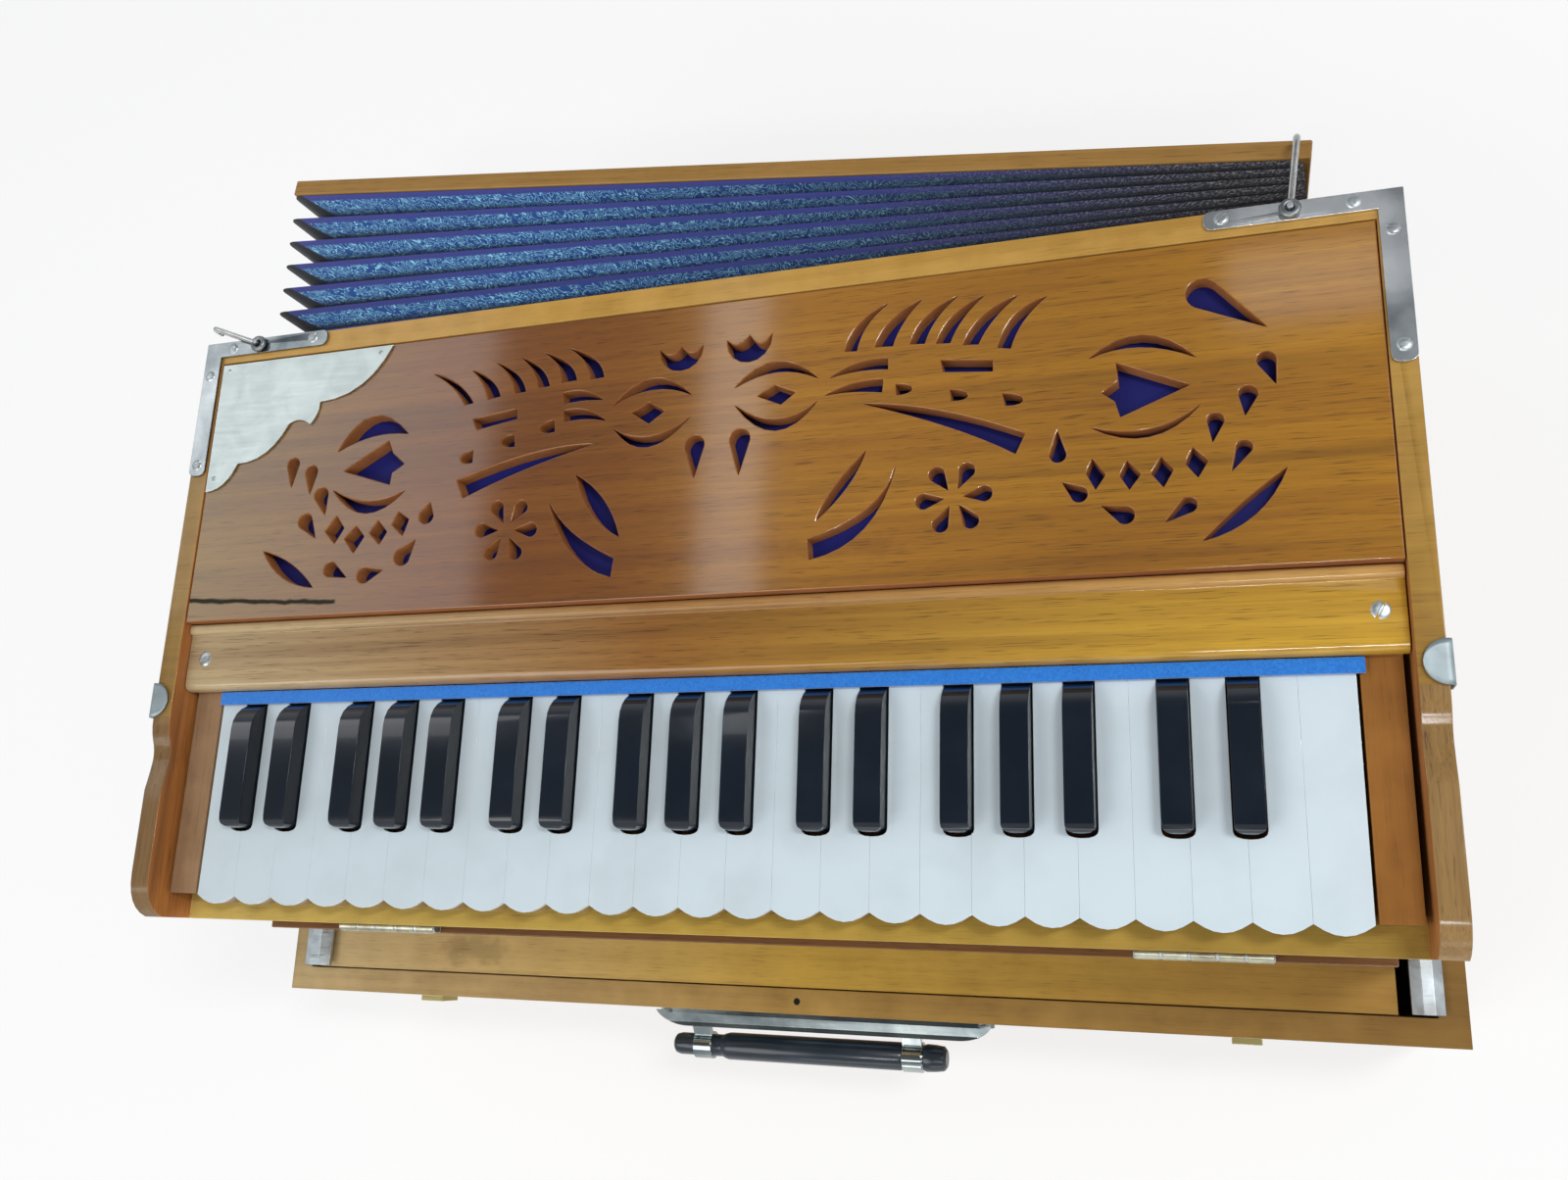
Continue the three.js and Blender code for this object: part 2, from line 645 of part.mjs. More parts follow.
const straightShares = [
  [[-199, 42], [-193, 35.5], [-188.5, 43], [-193.5, 49.5]],
  [[-187.5, 37.5], [-181.5, 30], [-176.5, 38], [-181.5, 43.5]],
  [[-173.5, 39.5], [-167.5, 33.5], [-164, 39.5], [-169.5, 45.5]],
  [[-161.5, 43], [-155, 37], [-152.5, 45], [-158.5, 49]],
  [[162, 42], [165.5, 35], [169.5, 41], [164.5, 48]],
  [[175, 40], [178.5, 34], [183, 40], [178, 46]],
  [[187, 40], [191.5, 34], [195.5, 41], [191, 46.5]],
  [[200, 43], [204.5, 37], [208.5, 43.5], [203, 49.5]],
  [[-39.5, 88], [-31, 82], [-23.5, 87.5], [-31.5, 92.5]],
  [[21, 90], [32, 85], [38.5, 90], [29, 94.5]],
  [[-192.5, 72.5], [-165.5, 63.5], [-165, 69.5], [-158.5, 73.5], [-165.5, 79.5], [-168.5, 86]],
  [[203, 76], [175, 88.5], [175.5, 80.5], [169, 76], [174, 72], [176, 65]],
  [[-122.5, 93], [-120, 87.5], [-99, 91], [-99, 96]],
  [[103, 98], [104, 92.5], [125, 90.5], [125, 95.5]],
];
// The short pads have one square end and one round end: square corners first
const padShares = [
  [[-78.5, 82.5], [-79, 88.5], [-91, 87], [-87, 81]], [[-99, 77], [-99.5, 83], [-111, 83], [-106, 76]],
  [[-121, 71], [-121, 77], [-132, 75], [-127, 69.5]], [[83.5, 89], [84, 84], [93, 84], [93, 88.5]],
  [[107, 84], [107.5, 79], [117, 78], [117, 83]], [[129, 80], [130, 74.5], [140, 73.5], [140, 79]],
];

function padHole([squareA, squareB, roundA, roundB]) {
  const points = [squareA, squareB, roundA, roundB].map(fretPoint);
  const path = new THREE.Path();
  path.moveTo(...points[0]);
  path.lineTo(...points[1]);
  path.bezierCurveTo(...points[2], ...points[3], ...points[0]);
  return path;
}

// Six drops stand in a ring round each flower's middle
const flowerPlaceShares = [[-99.5, 36, -3], [108.5, 36, 4]];
const petalCount = 6;
const petalInnerSquares = 4;
const petalOuterSquares = 12.6;
const petalRoundSquares = 3.3;

function petalHoles([column, row, lean]) {
  return Array.from({ length: petalCount }, (_, index) => {
    const turn = THREE.MathUtils.degToRad(lean) + index * Math.PI * 2 / petalCount;
    const at = (squares) => [column + squares * Math.cos(turn), row + squares * Math.sin(turn)];
    return dropHole([...at(petalOuterSquares), ...at(petalInnerSquares), petalRoundSquares]);
  });
}

const bowlShares = [
  [[-27.5, 118], [-6, 118], [-17, 102.5], [-17, 115]],
  [[5.5, 118.5], [27, 120], [16, 103], [16, 116]],
];

function fretPanel() {
  const panel = block(-panelHalfWidth, panelHalfWidth, panelFront, panelRear,
    panelTop - panelThickness, panelTop);
  const outlines = [...bowShares.map(bowHole), ...bentShares.map(bentHole), ...dropShares.map(dropHole),
    ...straightShares.map(straightHole), ...padShares.map(padHole), ...flowerPlaceShares.flatMap(petalHoles),
    ...bowlShares.map(bowlHole)];
  const cutLow = panelTop - panelThickness - overrun;
  const cuts = outlines.map((path) => {
    const points = path.getPoints(fretCurveSteps);
    const closed = points[0].distanceTo(points[points.length - 1]) < seatGap;
    const shape = new THREE.Shape(closed ? points.slice(0, -1) : points);
    return toSolid(slab(shape, cutLow, panelTop + overrun));
  });
  return toGeometry(toSolid(panel).subtract(cuts.reduce((whole, cut) => whole.add(cut))));
}

// The blank metal plate in the panel's rear left corner, cut in scallops along its inner side
const blankStartShares = [-171.5, 137];
const blankScallopShares = [
  [-184, 111, -211, 110.5], [-211, 103, -215.5, 99], [-222, 104, -228, 100.5],
  [-238, 81, -256.5, 81.5], [-262, 68, -274, 67.5],
];

function blankPlate() {
  const shape = new THREE.Shape();
  shape.moveTo(...fretPoint([-fretColumns + 1, blankStartShares[1]]));
  shape.lineTo(...fretPoint(blankStartShares));
  for (const [column, row, endColumn, endRow] of blankScallopShares) {
    shape.quadraticCurveTo(...fretPoint([column, row]), ...fretPoint([endColumn, endRow]));
  }
  const low = panelTop + seatGap;
  return slab(shape, low, low + blankThickness);
}

// A flat steel L on the rim's corner, with the upright pin on which its hook turns
function cornerPlate(side, hookX) {
  const outer = bodyHalfWidth;
  const inner = bodyHalfWidth - plateSideLegWidth;
  const rearInner = bodyRear - plateRearLegDepth;
  const shape = new THREE.Shape();
  shape.moveTo(outer, bodyRear);
  shape.lineTo(outer, plateSideLegEnd + plateEndRound);
  shape.quadraticCurveTo(outer, plateSideLegEnd, (outer + inner) / 2, plateSideLegEnd);
  shape.quadraticCurveTo(inner, plateSideLegEnd, inner, plateSideLegEnd + plateEndRound);
  shape.lineTo(inner, rearInner);
  shape.lineTo(plateRearLegEnd + plateEndRound, rearInner);
  shape.quadraticCurveTo(plateRearLegEnd, rearInner, plateRearLegEnd, (rearInner + bodyRear) / 2);
  shape.quadraticCurveTo(plateRearLegEnd, bodyRear, plateRearLegEnd + plateEndRound, bodyRear);
  const low = rimTop + seatGap;
  let flat = slab(shape, low, low + plateThickness);
  if (side < 0) {
    flat = flat.rotateY(Math.PI).translate(0, 0, 2 * low + plateThickness);
  }
  const pin = rodAlongZ(hookPinRadius, hookPinHeight + plateThickness, hookX, hookY,
    low + (hookPinHeight + plateThickness) / 2);
  return toGeometry(join([flat, pin]));
}

// A wire hook: an eye round the pin, a straight arm and a tip bent down
function hook(hookX, turn) {
  const z = rimTop + seatGap + plateThickness + seatGap + hookWire;
  const eye = new THREE.TorusGeometry(hookEyeRadius, hookWire, 8, 16);
  const route = new THREE.CurvePath();
  const start = new THREE.Vector3(hookEyeRadius, 0, 0);
  const bendStart = new THREE.Vector3(hookArm - hookBend, 0, 0);
  const corner = new THREE.Vector3(hookArm, 0, 0);
  const bendEnd = new THREE.Vector3(hookArm, 0, -hookBend);
  const tip = new THREE.Vector3(hookArm, 0, -hookTipDrop - hookBend / 2);
  route.add(new THREE.LineCurve3(start, bendStart));
  route.add(new THREE.QuadraticBezierCurve3(bendStart, corner, bendEnd));
  route.add(new THREE.LineCurve3(bendEnd, tip));
  const wire = new THREE.Shape();
  wire.absarc(0, 0, hookWire, 0, Math.PI * 2);
  const arm = new THREE.ExtrudeGeometry(wire, { extrudePath: route, steps: 14, curveSegments: 4 });
  const geometry = toGeometry(join([eye, arm]));
  return geometry.rotateZ(turn).translate(hookX, hookY, z);
}

// The pumping board stands open, turned about the upright pins at its right end
const bellows = new THREE.Group();
bellows.position.set(bellowsPivotX, bellowsPivotY, 0);
bellows.rotation.z = -bellowsOpenTurn;
body.add(bellows);

function bellowsBoard() {
  const right = -boardEndInset;
  const inner = -boardInnerOffset;
  const board = toSolid(block(right - boardLength, right, inner, inner + boardThickness,
    boardBottom, boardTop));
  const face = inner + boardThickness;
  const leaves = strapPlaceShares.map((share) => {
    const low = THREE.MathUtils.lerp(boardBottom, boardTop, share) + seatGap;
    const high = low + strapHeight;
    const middle = (low + high) / 2;
    const leaf = block(right - strapReach, 0, face - strapThickness, face + strapThickness, low, high);
    const barrel = rodAlongZ(strapBarrel * 2, high - low, 0, 0, middle);
    const bore = rodAlongZ(strapPin + pinClearance, high - low + overrun, 0, 0, middle);
    return toSolid(leaf).add(toSolid(barrel)).subtract(toSolid(bore));
  });
  return toGeometry(leaves.reduce((whole, piece) => whole.add(piece), board));
}

// Six pleats between the rear panel and the board, from ridge to ridge; the rings between are drawn in
function bellowsFolds() {
  const turn = -bellowsOpenTurn;
  const along = (distance) => [
    bellowsPivotX + distance * Math.cos(turn) + (boardInnerOffset + seatGap) * Math.sin(turn),
    bellowsPivotY + distance * Math.sin(turn) - (boardInnerOffset + seatGap) * Math.cos(turn),
  ];
  const rightEnd = -boardEndInset - foldEndInset;
  const leftEnd = -boardEndInset - boardLength - foldLeftReach;
  const steps = foldCount * 2;
  const pleats = Array.from({ length: steps + 1 },
    (_, step) => foldRootShare + (1 - foldRootShare) * step / steps);
  const shares = [0].concat(pleats);
  const positions = [];
  const index = [];
  for (const [ring, share] of shares.entries()) {
    const inset = ring > 0 && ring % 2 === 0 ? foldDepth : 0;
    const [rx, ry] = along(rightEnd - inset);
    const [lx, ly] = along(leftEnd + inset);
    const base = bodyRear + seatGap;
    const corners = [[rx, THREE.MathUtils.lerp(base, ry, share)], [lx, THREE.MathUtils.lerp(base, ly, share)]];
    for (const z of [foldBottom + inset, foldTop - inset]) {
      for (const [x, y] of corners) {
        positions.push(x, y, z);
      }
    }
  }
  const quad = (a, b, c, d) => index.push(a, c, b, a, d, c);
  const sides = [[0, 1], [1, 3], [3, 2], [2, 0]];
  for (let ring = 0; ring < shares.length - 1; ring += 1) {
    const here = ring * cornersPerRing;
    const next = here + cornersPerRing;
    for (const [from, to] of sides) {
      quad(here + from, next + from, next + to, here + to);
    }
  }
  const last = (shares.length - 1) * cornersPerRing;
  quad(...[0, 1, 3, 2]);
  quad(...[0, 2, 3, 1].map((corner) => last + corner));
  const geometry = new THREE.BufferGeometry();
  geometry.setAttribute('position', new THREE.Float32BufferAttribute(positions, 3));
  geometry.setIndex(index);
  const flat = geometry.toNonIndexed();
  flat.computeVertexNormals();
  return flat;
}

// The flap hangs upright from two hinges under the front rail and stands on the case's front ledge
const flap = new THREE.Group();
flap.position.set(0, bodyFront - flapPinStandOff, bodyUnderside - flapPinDrop);
body.add(flap);

function frontFlap() {
  const face = -flapFaceStep;
  const board = block(-flapHalfWidth, flapHalfWidth, face, face + flapThickness, -flapLength, -flapTopGap);
  const parts = [board];
  for (const side of [-1, 1]) {
    const x = side * flapHingePlace;
    parts.push(rodAlongX(flapBarrel, flapHingeLength, x, 0, 0));
    parts.push(block(x - flapHingeLength / 2, x + flapHingeLength / 2, face, flapBarrel / 2,
      -flapTopGap * 2, 0));
  }
  return toGeometry(join(parts));
}

// Handle: a pressed plate on the case's front, with a hood over two pairs of lugs, and its grip
const handle = new THREE.Group();
handle.position.set(0, -caseDepth / 2, caseHeight - handleDrop);
harmonium.add(handle);

// The hood slopes down from the plate to a level lip, and its ends sweep back to the wall
function handleHood() {
  const root = seatGap + handlePlateThickness / 2;
  const fold = hoodReach - hoodLipWidth;
  const side = shapeOf([[-root, hoodTop], [-fold, hoodLip], [-hoodReach, hoodLip],
    [-hoodReach, hoodLip - hoodSheet], [-fold, hoodLip - hoodSheet], [-root, hoodTop - hoodSheet]]);
  const plan = new THREE.Shape();
  plan.moveTo(-handlePlateHalf, 0);
  plan.lineTo(handlePlateHalf, 0);
  const straight = handlePlateHalf - hoodEnd;
  plan.absellipse(straight, 0, hoodEnd, hoodReach, 0, -Math.PI / 2, true);
  plan.absellipse(-straight, 0, hoodEnd, hoodReach, -Math.PI / 2, -Math.PI, true);
  const sheet = toSolid(moulding(side, -handlePlateHalf, handlePlateHalf));
  return sheet.intersect(toSolid(slab(plan, 0, hoodTop, 8)));
}

function handlePlate() {
  const half = handlePlateHalf - handlePlateHeight / 2;
  const shape = new THREE.Shape();
  shape.absarc(half, 0, handlePlateHeight / 2, -Math.PI / 2, Math.PI / 2, false);
  shape.absarc(-half, 0, handlePlateHeight / 2, Math.PI / 2, Math.PI * 1.5, false);
  const flat = slab(shape, seatGap, seatGap + handlePlateThickness, 8).rotateX(Math.PI / 2);
  const plate = toSolid(flat).add(handleHood()).translate(handlePlateShift, 0, 0);
  const lugs = [];
  for (const side of [-1, 1]) {
    for (const edge of [-1, 1]) {
      const x = gripShift + side * lugPlace + edge * lugSpan / 2;
      const round = toSolid(rodAlongX(lugRadius, lugThickness, x, -handlePinOffset, 0));
      const foot = toSolid(block(x - lugThickness / 2, x + lugThickness / 2, -handlePinOffset,
        -seatGap - handlePlateThickness / 2, -lugRadius, lugRadius));
      const bore = rodAlongX(pinRadius + pinClearance, lugThickness + overrun, x, -handlePinOffset, 0);
      lugs.push(round.add(foot).subtract(toSolid(bore)));
    }
  }
  return toGeometry(lugs.reduce((whole, piece) => whole.add(piece), plate));
}

// Two flat chrome loops on pins carry a core in a sleeve, with a cap at each end.
// The parts are drawn level with the pins and then let down.
function handleGrip() {
  const reach = Math.hypot(gripOffset - handlePinOffset, gripDrop);
  const slope = Math.atan2(gripDrop, gripOffset - handlePinOffset);
  const outline = gripOutlineShares.map(([along, wide]) => [gripRadius * wide, -gripHalf * along]);
  const profile = [[0, gripHalf], ...outline, [0, -gripHalf]].reverse();
  const lathe = new THREE.LatheGeometry(profile.map(([r, y]) => new THREE.Vector2(r, y)), 16);
  const parts = [lathe.rotateZ(Math.PI / 2).translate(gripShift, -reach, 0)];
  for (const side of [-1, 1]) {
    const x = gripShift + side * lugPlace;
    const hug = gripRadius * loopHugShares[side < 0 ? 0 : 1];
    parts.push(rodAlongX(pinRadius, lugSpan + lugThickness, x, 0, 0));
    parts.push(rodAlongX(pinRadius + loopThickness, loopWidth, x, 0, 0));
    parts.push(rodAlongX(hug + loopThickness, loopWidth, x, -reach, 0, 24));
    parts.push(block(x - loopWidth / 2, x + loopWidth / 2, -reach, 0, -loopThickness, loopThickness));
  }
  const turned = parts.map((part) => part.rotateX(slope).translate(0, -handlePinOffset, 0));
  return toGeometry(join(turned));
}

place('case_box', caseBox(), darkTeak, harmonium);
place('rest_rail_left', restRail(-1), steel, harmonium);
place('rest_rail_right', restRail(1), steel, harmonium);
place('handle_plate', handlePlate(), chrome, handle);
place('handle_grip', handleGrip(), blackPlastic, handle);
place('carcass', carcass(), teak, body);
place('key_bed', keyBed(), teak, body);
place('name_rail', nameRail(), teak, body);
place('felt_strip', feltStrip(), blueFelt, body);
place('fret_panel', fretPanel(), teak, body);
place('blank_plate', blankPlate(), steel, body);
place('corner_plate_left', cornerPlate(-1, leftHookX), steel, body);
place('corner_plate_right', cornerPlate(1, rightHookX), steel, body);
place('hook_left', hook(leftHookX, leftHookTurn), steel, body);
place('hook_right', hook(rightHookX, rightHookTurn), steel, body);
place('bellows_board', bellowsBoard(), teak, bellows);
place('bellows_folds', bellowsFolds(), bellowsCloth, body);
place('front_flap', frontFlap(), teak, flap);

const junctions = Array.from({ length: whiteCount }, (_, index) => index);
for (const index of junctions) {
  place(`white_key_${String(index + 1).padStart(2, '0')}`, whiteKey(index), ivory, body);
}
for (const [index, junction] of junctions.filter(hasBlackKey).entries()) {
  place(`black_key_${String(index + 1).padStart(2, '0')}`, blackKey(junction), ebony, body);
}

export default harmonium;
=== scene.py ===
import math

import bmesh
import bpy
import numpy as np
from mathutils import Matrix, Vector, geometry


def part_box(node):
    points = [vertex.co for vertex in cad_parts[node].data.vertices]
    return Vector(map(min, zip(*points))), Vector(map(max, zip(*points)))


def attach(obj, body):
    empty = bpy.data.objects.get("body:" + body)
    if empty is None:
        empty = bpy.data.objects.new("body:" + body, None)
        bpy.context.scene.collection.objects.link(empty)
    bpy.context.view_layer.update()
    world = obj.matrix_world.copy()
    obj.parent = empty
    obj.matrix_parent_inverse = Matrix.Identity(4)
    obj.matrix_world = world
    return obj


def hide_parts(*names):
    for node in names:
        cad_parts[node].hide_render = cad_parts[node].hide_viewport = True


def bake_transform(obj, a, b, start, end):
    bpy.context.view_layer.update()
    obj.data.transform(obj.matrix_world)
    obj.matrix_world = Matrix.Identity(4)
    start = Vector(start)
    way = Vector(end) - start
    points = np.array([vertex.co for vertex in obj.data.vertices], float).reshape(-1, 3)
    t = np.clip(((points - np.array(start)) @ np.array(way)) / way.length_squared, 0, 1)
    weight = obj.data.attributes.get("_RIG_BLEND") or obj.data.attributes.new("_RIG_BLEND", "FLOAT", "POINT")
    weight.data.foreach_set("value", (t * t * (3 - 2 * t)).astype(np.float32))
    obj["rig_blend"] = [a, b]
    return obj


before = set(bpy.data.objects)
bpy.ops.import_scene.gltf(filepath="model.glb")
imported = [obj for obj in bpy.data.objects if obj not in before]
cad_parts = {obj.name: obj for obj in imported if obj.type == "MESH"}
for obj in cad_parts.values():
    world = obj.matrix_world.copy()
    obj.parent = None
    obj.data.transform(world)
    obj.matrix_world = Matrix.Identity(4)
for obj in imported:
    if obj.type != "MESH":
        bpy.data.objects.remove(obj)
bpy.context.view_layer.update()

# Lower carrying case: four varnished teak boards jointed at the corners round a floor, with a ledge inside
# the front one. Its arrises are worn round by handling. The body stands on its rests, and the handle is
# screwed to its front.
MM = 0.001
FACING = 0.7  # a face looks along an axis when its normal has more than this share there


def node_group(name, inputs, outputs):
    """An empty shader group with named sockets, and its two end nodes."""
    group = bpy.data.node_groups.new(name, "ShaderNodeTree")
    for label, kind, value in inputs:
        socket = group.interface.new_socket(label, in_out="INPUT", socket_type=kind)
        if value is not None:
            socket.default_value = value
    for label, kind in outputs:
        group.interface.new_socket(label, in_out="OUTPUT", socket_type=kind)
    return group, group.nodes.new("NodeGroupInput"), group.nodes.new("NodeGroupOutput")


def add_node(tree, kind, links=(), **settings):
    """A node with its settings. Links gives pairs of an input and a source: a socket is joined to it, and a
    plain value becomes its default."""
    node = tree.nodes.new(kind)
    for key, value in settings.items():
        setattr(node, key, value)
    for key, source in links:
        socket = node.inputs[key]
        if isinstance(source, bpy.types.NodeSocket):
            tree.links.new(source, socket)
        else:
            socket.default_value = source
    return node


def ramp(tree, source, stops):
    """A colour ramp of (place, grey or colour) stops."""
    node = add_node(tree, "ShaderNodeValToRGB", [("Fac", source)])
    elements = node.color_ramp.elements
    while len(elements) < len(stops):
        elements.new(0.5)
    for element, (place, colour) in zip(elements, stops):
        element.position = place
        element.color = (*colour, 1) if isinstance(colour, tuple) else (colour, colour, colour, 1)
    return node.outputs["Color"]


def mix_colour(tree, share, low, high, blend="MIX"):
    """Two colours mixed by a share; a Mix node has its colours on sockets 6, 7 and 2."""
    links = [(0, share), (6, low), (7, high)]
    return add_node(tree, "ShaderNodeMix", links, data_type="RGBA", blend_type=blend).outputs[2]


def math_node(tree, operation, first, second=0.0, clamp=False):
    """One sum on two values."""
    links = [(0, first), (1, second)]
    return add_node(tree, "ShaderNodeMath", links, operation=operation, use_clamp=clamp).outputs[0]


def vector_node(tree, operation, first, second):
    """One sum on a vector and a second vector, or a plain factor when it is scaled."""
    key = "Scale" if operation == "SCALE" else 1
    return add_node(tree, "ShaderNodeVectorMath", [(0, first), (key, second)], operation=operation)


def noise(tree, vector, scale, detail, distortion=0.0):
    """Smooth noise between nought and one."""
    links = [("Vector", vector), ("Scale", scale), ("Detail", detail), ("Distortion", distortion)]
    return add_node(tree, "ShaderNodeTexNoise", links).outputs["Fac"]


def share_between(tree, value, low, high):
    """Nought at the low value, one at the high value, straight between them and level beyond."""
    links = [("Value", value), ("From Min", low), ("From Max", high)]
    return add_node(tree, "ShaderNodeMapRange", links).outputs[0]


def own_place(tree):
    """The piece's own coordinates, in metres."""
    return add_node(tree, "ShaderNodeTexCoord").outputs["Object"]


def set_bump(tree, shader, height, strength, distance):
    """A bump from a height feeds the shader's Normal."""
    links = [("Height", height), ("Strength", strength), ("Distance", distance)]
    tree.links.new(add_node(tree, "ShaderNodeBump", links).outputs[0], shader.inputs["Normal"])


def build_grain():
    """Teak: broad bands, long streaks and fine pores, all drawn out along the vector's X."""
    inputs = [("Vector", "NodeSocketVector", None),
              ("Pale", "NodeSocketColor", (0.6, 0.3, 0.1, 1)),
              ("Deep", "NodeSocketColor", (0.3, 0.12, 0.04, 1)),
              ("Streak", "NodeSocketColor", (0.1, 0.05, 0.02, 1)),
              ("Streak Amount", "NodeSocketFloat", 0.5)]
    outputs = [("Color", "NodeSocketColor"), ("Rough", "NodeSocketFloat"), ("Height", "NodeSocketFloat")]
    group, start, end = node_group("teak grain", inputs, outputs)

    def drawn_out(along, across, scale, detail, distortion=0.0):
        """Noise squeezed less along the vector's X than across it."""
        links = [("Vector", start.outputs["Vector"]), ("Scale", (along, across, across))]
        vector = add_node(group, "ShaderNodeMapping", links).outputs[0]
        return noise(group, vector, scale, detail, distortion)

    bands = drawn_out(1.5, 17, 1.5, 4, 0.8)
    streaks = drawn_out(2.2, 240, 1.5, 5, 0.25)
    fibres = drawn_out(16, 1100, 1.3, 3)
    dark = drawn_out(1.3, 62, 1.1, 6, 0.6)
    dashes = drawn_out(70, 1900, 1.0, 2)
    tone = math_node(group, "MULTIPLY", bands, 0.42)
    tone = math_node(group, "ADD", tone, math_node(group, "MULTIPLY", streaks, 0.34))
    tone = math_node(group, "ADD", tone, math_node(group, "MULTIPLY", fibres, 0.24))
    ripeness = ramp(group, tone, [(0.36, 0.0), (0.62, 1.0)])
    wood = mix_colour(group, ripeness, start.outputs["Deep"], start.outputs["Pale"])
    mask = ramp(group, dark, [(0.56, 0.0), (0.72, 1.0)])
    amount = math_node(group, "MULTIPLY", mask, start.outputs["Streak Amount"])
    wood = mix_colour(group, amount, wood, start.outputs["Streak"])
    pores = ramp(group, dashes, [(0.3, 0.5), (0.42, 1.0)])
    wood = mix_colour(group, 1.0, wood, pores, "MULTIPLY")
    group.links.new(wood, end.inputs["Color"])
    group.links.new(math_node(group, "MULTIPLY", fibres, 0.25), end.inputs["Rough"])
    relief = math_node(group, "ADD", fibres, math_node(group, "MULTIPLY", streaks, 0.5))
    group.links.new(relief, end.inputs["Height"])
    return group


def build_wear():
    """Worn arrises: one where Geometry's pointiness is high, broken up by noise."""
    inputs = [("Vector", "NodeSocketVector", None), ("Edge", "NodeSocketFloat", 0.52),
              ("Scale", "NodeSocketFloat", 60.0)]
    group, start, end = node_group("worn edges", inputs, [("Mask", "NodeSocketFloat")])
    point = add_node(group, "ShaderNodeNewGeometry").outputs["Pointiness"]
    speckle = noise(group, start.outputs["Vector"], start.outputs["Scale"], 4.0)
    over = math_node(group, "SUBTRACT", point, start.outputs["Edge"])
    over = math_node(group, "MULTIPLY", over, 14.0, True)
    group.links.new(math_node(group, "MULTIPLY", over, speckle, True), end.inputs["Mask"])
    return group


grain_group = build_grain()
wear_group = build_wear()
same_place = 0.002 * MM  # corners closer than this are one corner


def start_material(name, **plain):
    """A material with its Principled shader's plain sockets set; returns the material, tree and shader."""
    material = bpy.data.materials.new(name)
    material.use_nodes = True
    tree = material.node_tree
    shader = tree.nodes["Principled BSDF"]
    for key, value in plain.items():
        shader.inputs[key.replace("_", " ")].default_value = value
    return material, tree, shader


def varnished(name, pale, deep, streak, amount, turn=(0, 0, 0), shift=(0, 0, 0), rough=0.68, coat=0.35,
              coat_rough=0.13, wear_edge=0.52):
    """Varnished wood whose grain runs along X, turned and shifted to suit the board. Its fibres are rougher
    than the given roughness, under the coat. Arrises sharper than the given pointiness are worn pale; 1
    leaves none worn."""
    material, tree, shader = start_material(name, Coat_Weight=coat, Coat_Roughness=coat_rough, Coat_IOR=1.62,
                                            Specular_IOR_Level=0.25)
    links = [("Vector", own_place(tree)), ("Location", shift), ("Rotation", turn)]
    place = add_node(tree, "ShaderNodeMapping", links).outputs[0]
    links = [("Vector", place), ("Pale", (*pale, 1)), ("Deep", (*deep, 1)), ("Streak", (*streak, 1)),
             ("Streak Amount", amount)]
    grain = add_node(tree, "ShaderNodeGroup", links, node_tree=grain_group)
    wear = add_node(tree, "ShaderNodeGroup", [("Vector", place), ("Edge", wear_edge)], node_tree=wear_group)
    worn = tuple(min(1.0, channel * 1.35 + 0.04) for channel in pale)
    colour = mix_colour(tree, wear.outputs["Mask"], grain.outputs["Color"], (*worn, 1))
    tree.links.new(colour, shader.inputs["Base Color"])
    roughness = math_node(tree, "ADD", grain.outputs["Rough"], rough)
    tree.links.new(roughness, shader.inputs["Roughness"])
    set_bump(tree, shader, grain.outputs["Height"], 0.5, 0.06 * MM)
    return material


def line_mask(tree, ends, half_width, wander):
    """One on a straight mark between two places (x0, y0, x1, y1), wandering a little; nought beside it."""
    x0, y0, x1, y1 = ends
    place = own_place(tree)
    links = [("Vector", place), ("Scale", 120.0), ("Detail", 3.0)]
    shaken = add_node(tree, "ShaderNodeTexNoise", links).outputs["Color"]
    shift = vector_node(tree, "SUBTRACT", shaken, (0.5, 0.5, 0.5)).outputs[0]
    shift = vector_node(tree, "SCALE", shift, wander).outputs[0]
    moved = vector_node(tree, "ADD", place, shift).outputs[0]
    length = math.hypot(x1 - x0, y1 - y0)
    angle = math.atan2(y1 - y0, x1 - x0)
    links = [("Vector", moved), ("Location", (x0, y0, 0)), ("Rotation", (0, 0, angle))]
    local = add_node(tree, "ShaderNodeMapping", links, vector_type="TEXTURE").outputs[0]
    parts = add_node(tree, "ShaderNodeSeparateXYZ", [("Vector", local)])
    beside = math_node(tree, "ABSOLUTE", parts.outputs["Y"])
    near = share_between(tree, beside, half_width * 1.4, half_width * 0.6)
    beyond = math_node(tree, "ABSOLUTE", math_node(tree, "SUBTRACT", parts.outputs["X"], length / 2))
    within = share_between(tree, beyond, length / 2 + half_width, length / 2)
    return math_node(tree, "MULTIPLY", near, within)


def dot_mask(tree, x, y, radius):
    """One inside a round mark about a place, seen from above."""
    level = vector_node(tree, "MULTIPLY", own_place(tree), (1, 1, 0)).outputs[0]
    away = vector_node(tree, "DISTANCE", level, (x, y, 0)).outputs["Value"]
    return share_between(tree, away, radius * 1.1, radius * 0.9)


def marked(material, mask, colour, strength=1.0):
    """Lays a mark's colour over whatever feeds the shader's Base Color."""
    tree = material.node_tree
    target = tree.nodes["Principled BSDF"].inputs["Base Color"]
    under = target.links[0].from_socket
    share = math_node(tree, "MULTIPLY", mask, strength)
    tree.links.new(mix_colour(tree, share, under, (*colour, 1)), target)


def over_axis(tree, axis, low, high, stops):
    """A ramp of (place, grey or colour) stops over the piece's own place along an axis, from low to high."""
    along = add_node(tree, "ShaderNodeSeparateXYZ", [("Vector", own_place(tree))]).outputs[axis]
    return ramp(tree, share_between(tree, along, low, high), stops)


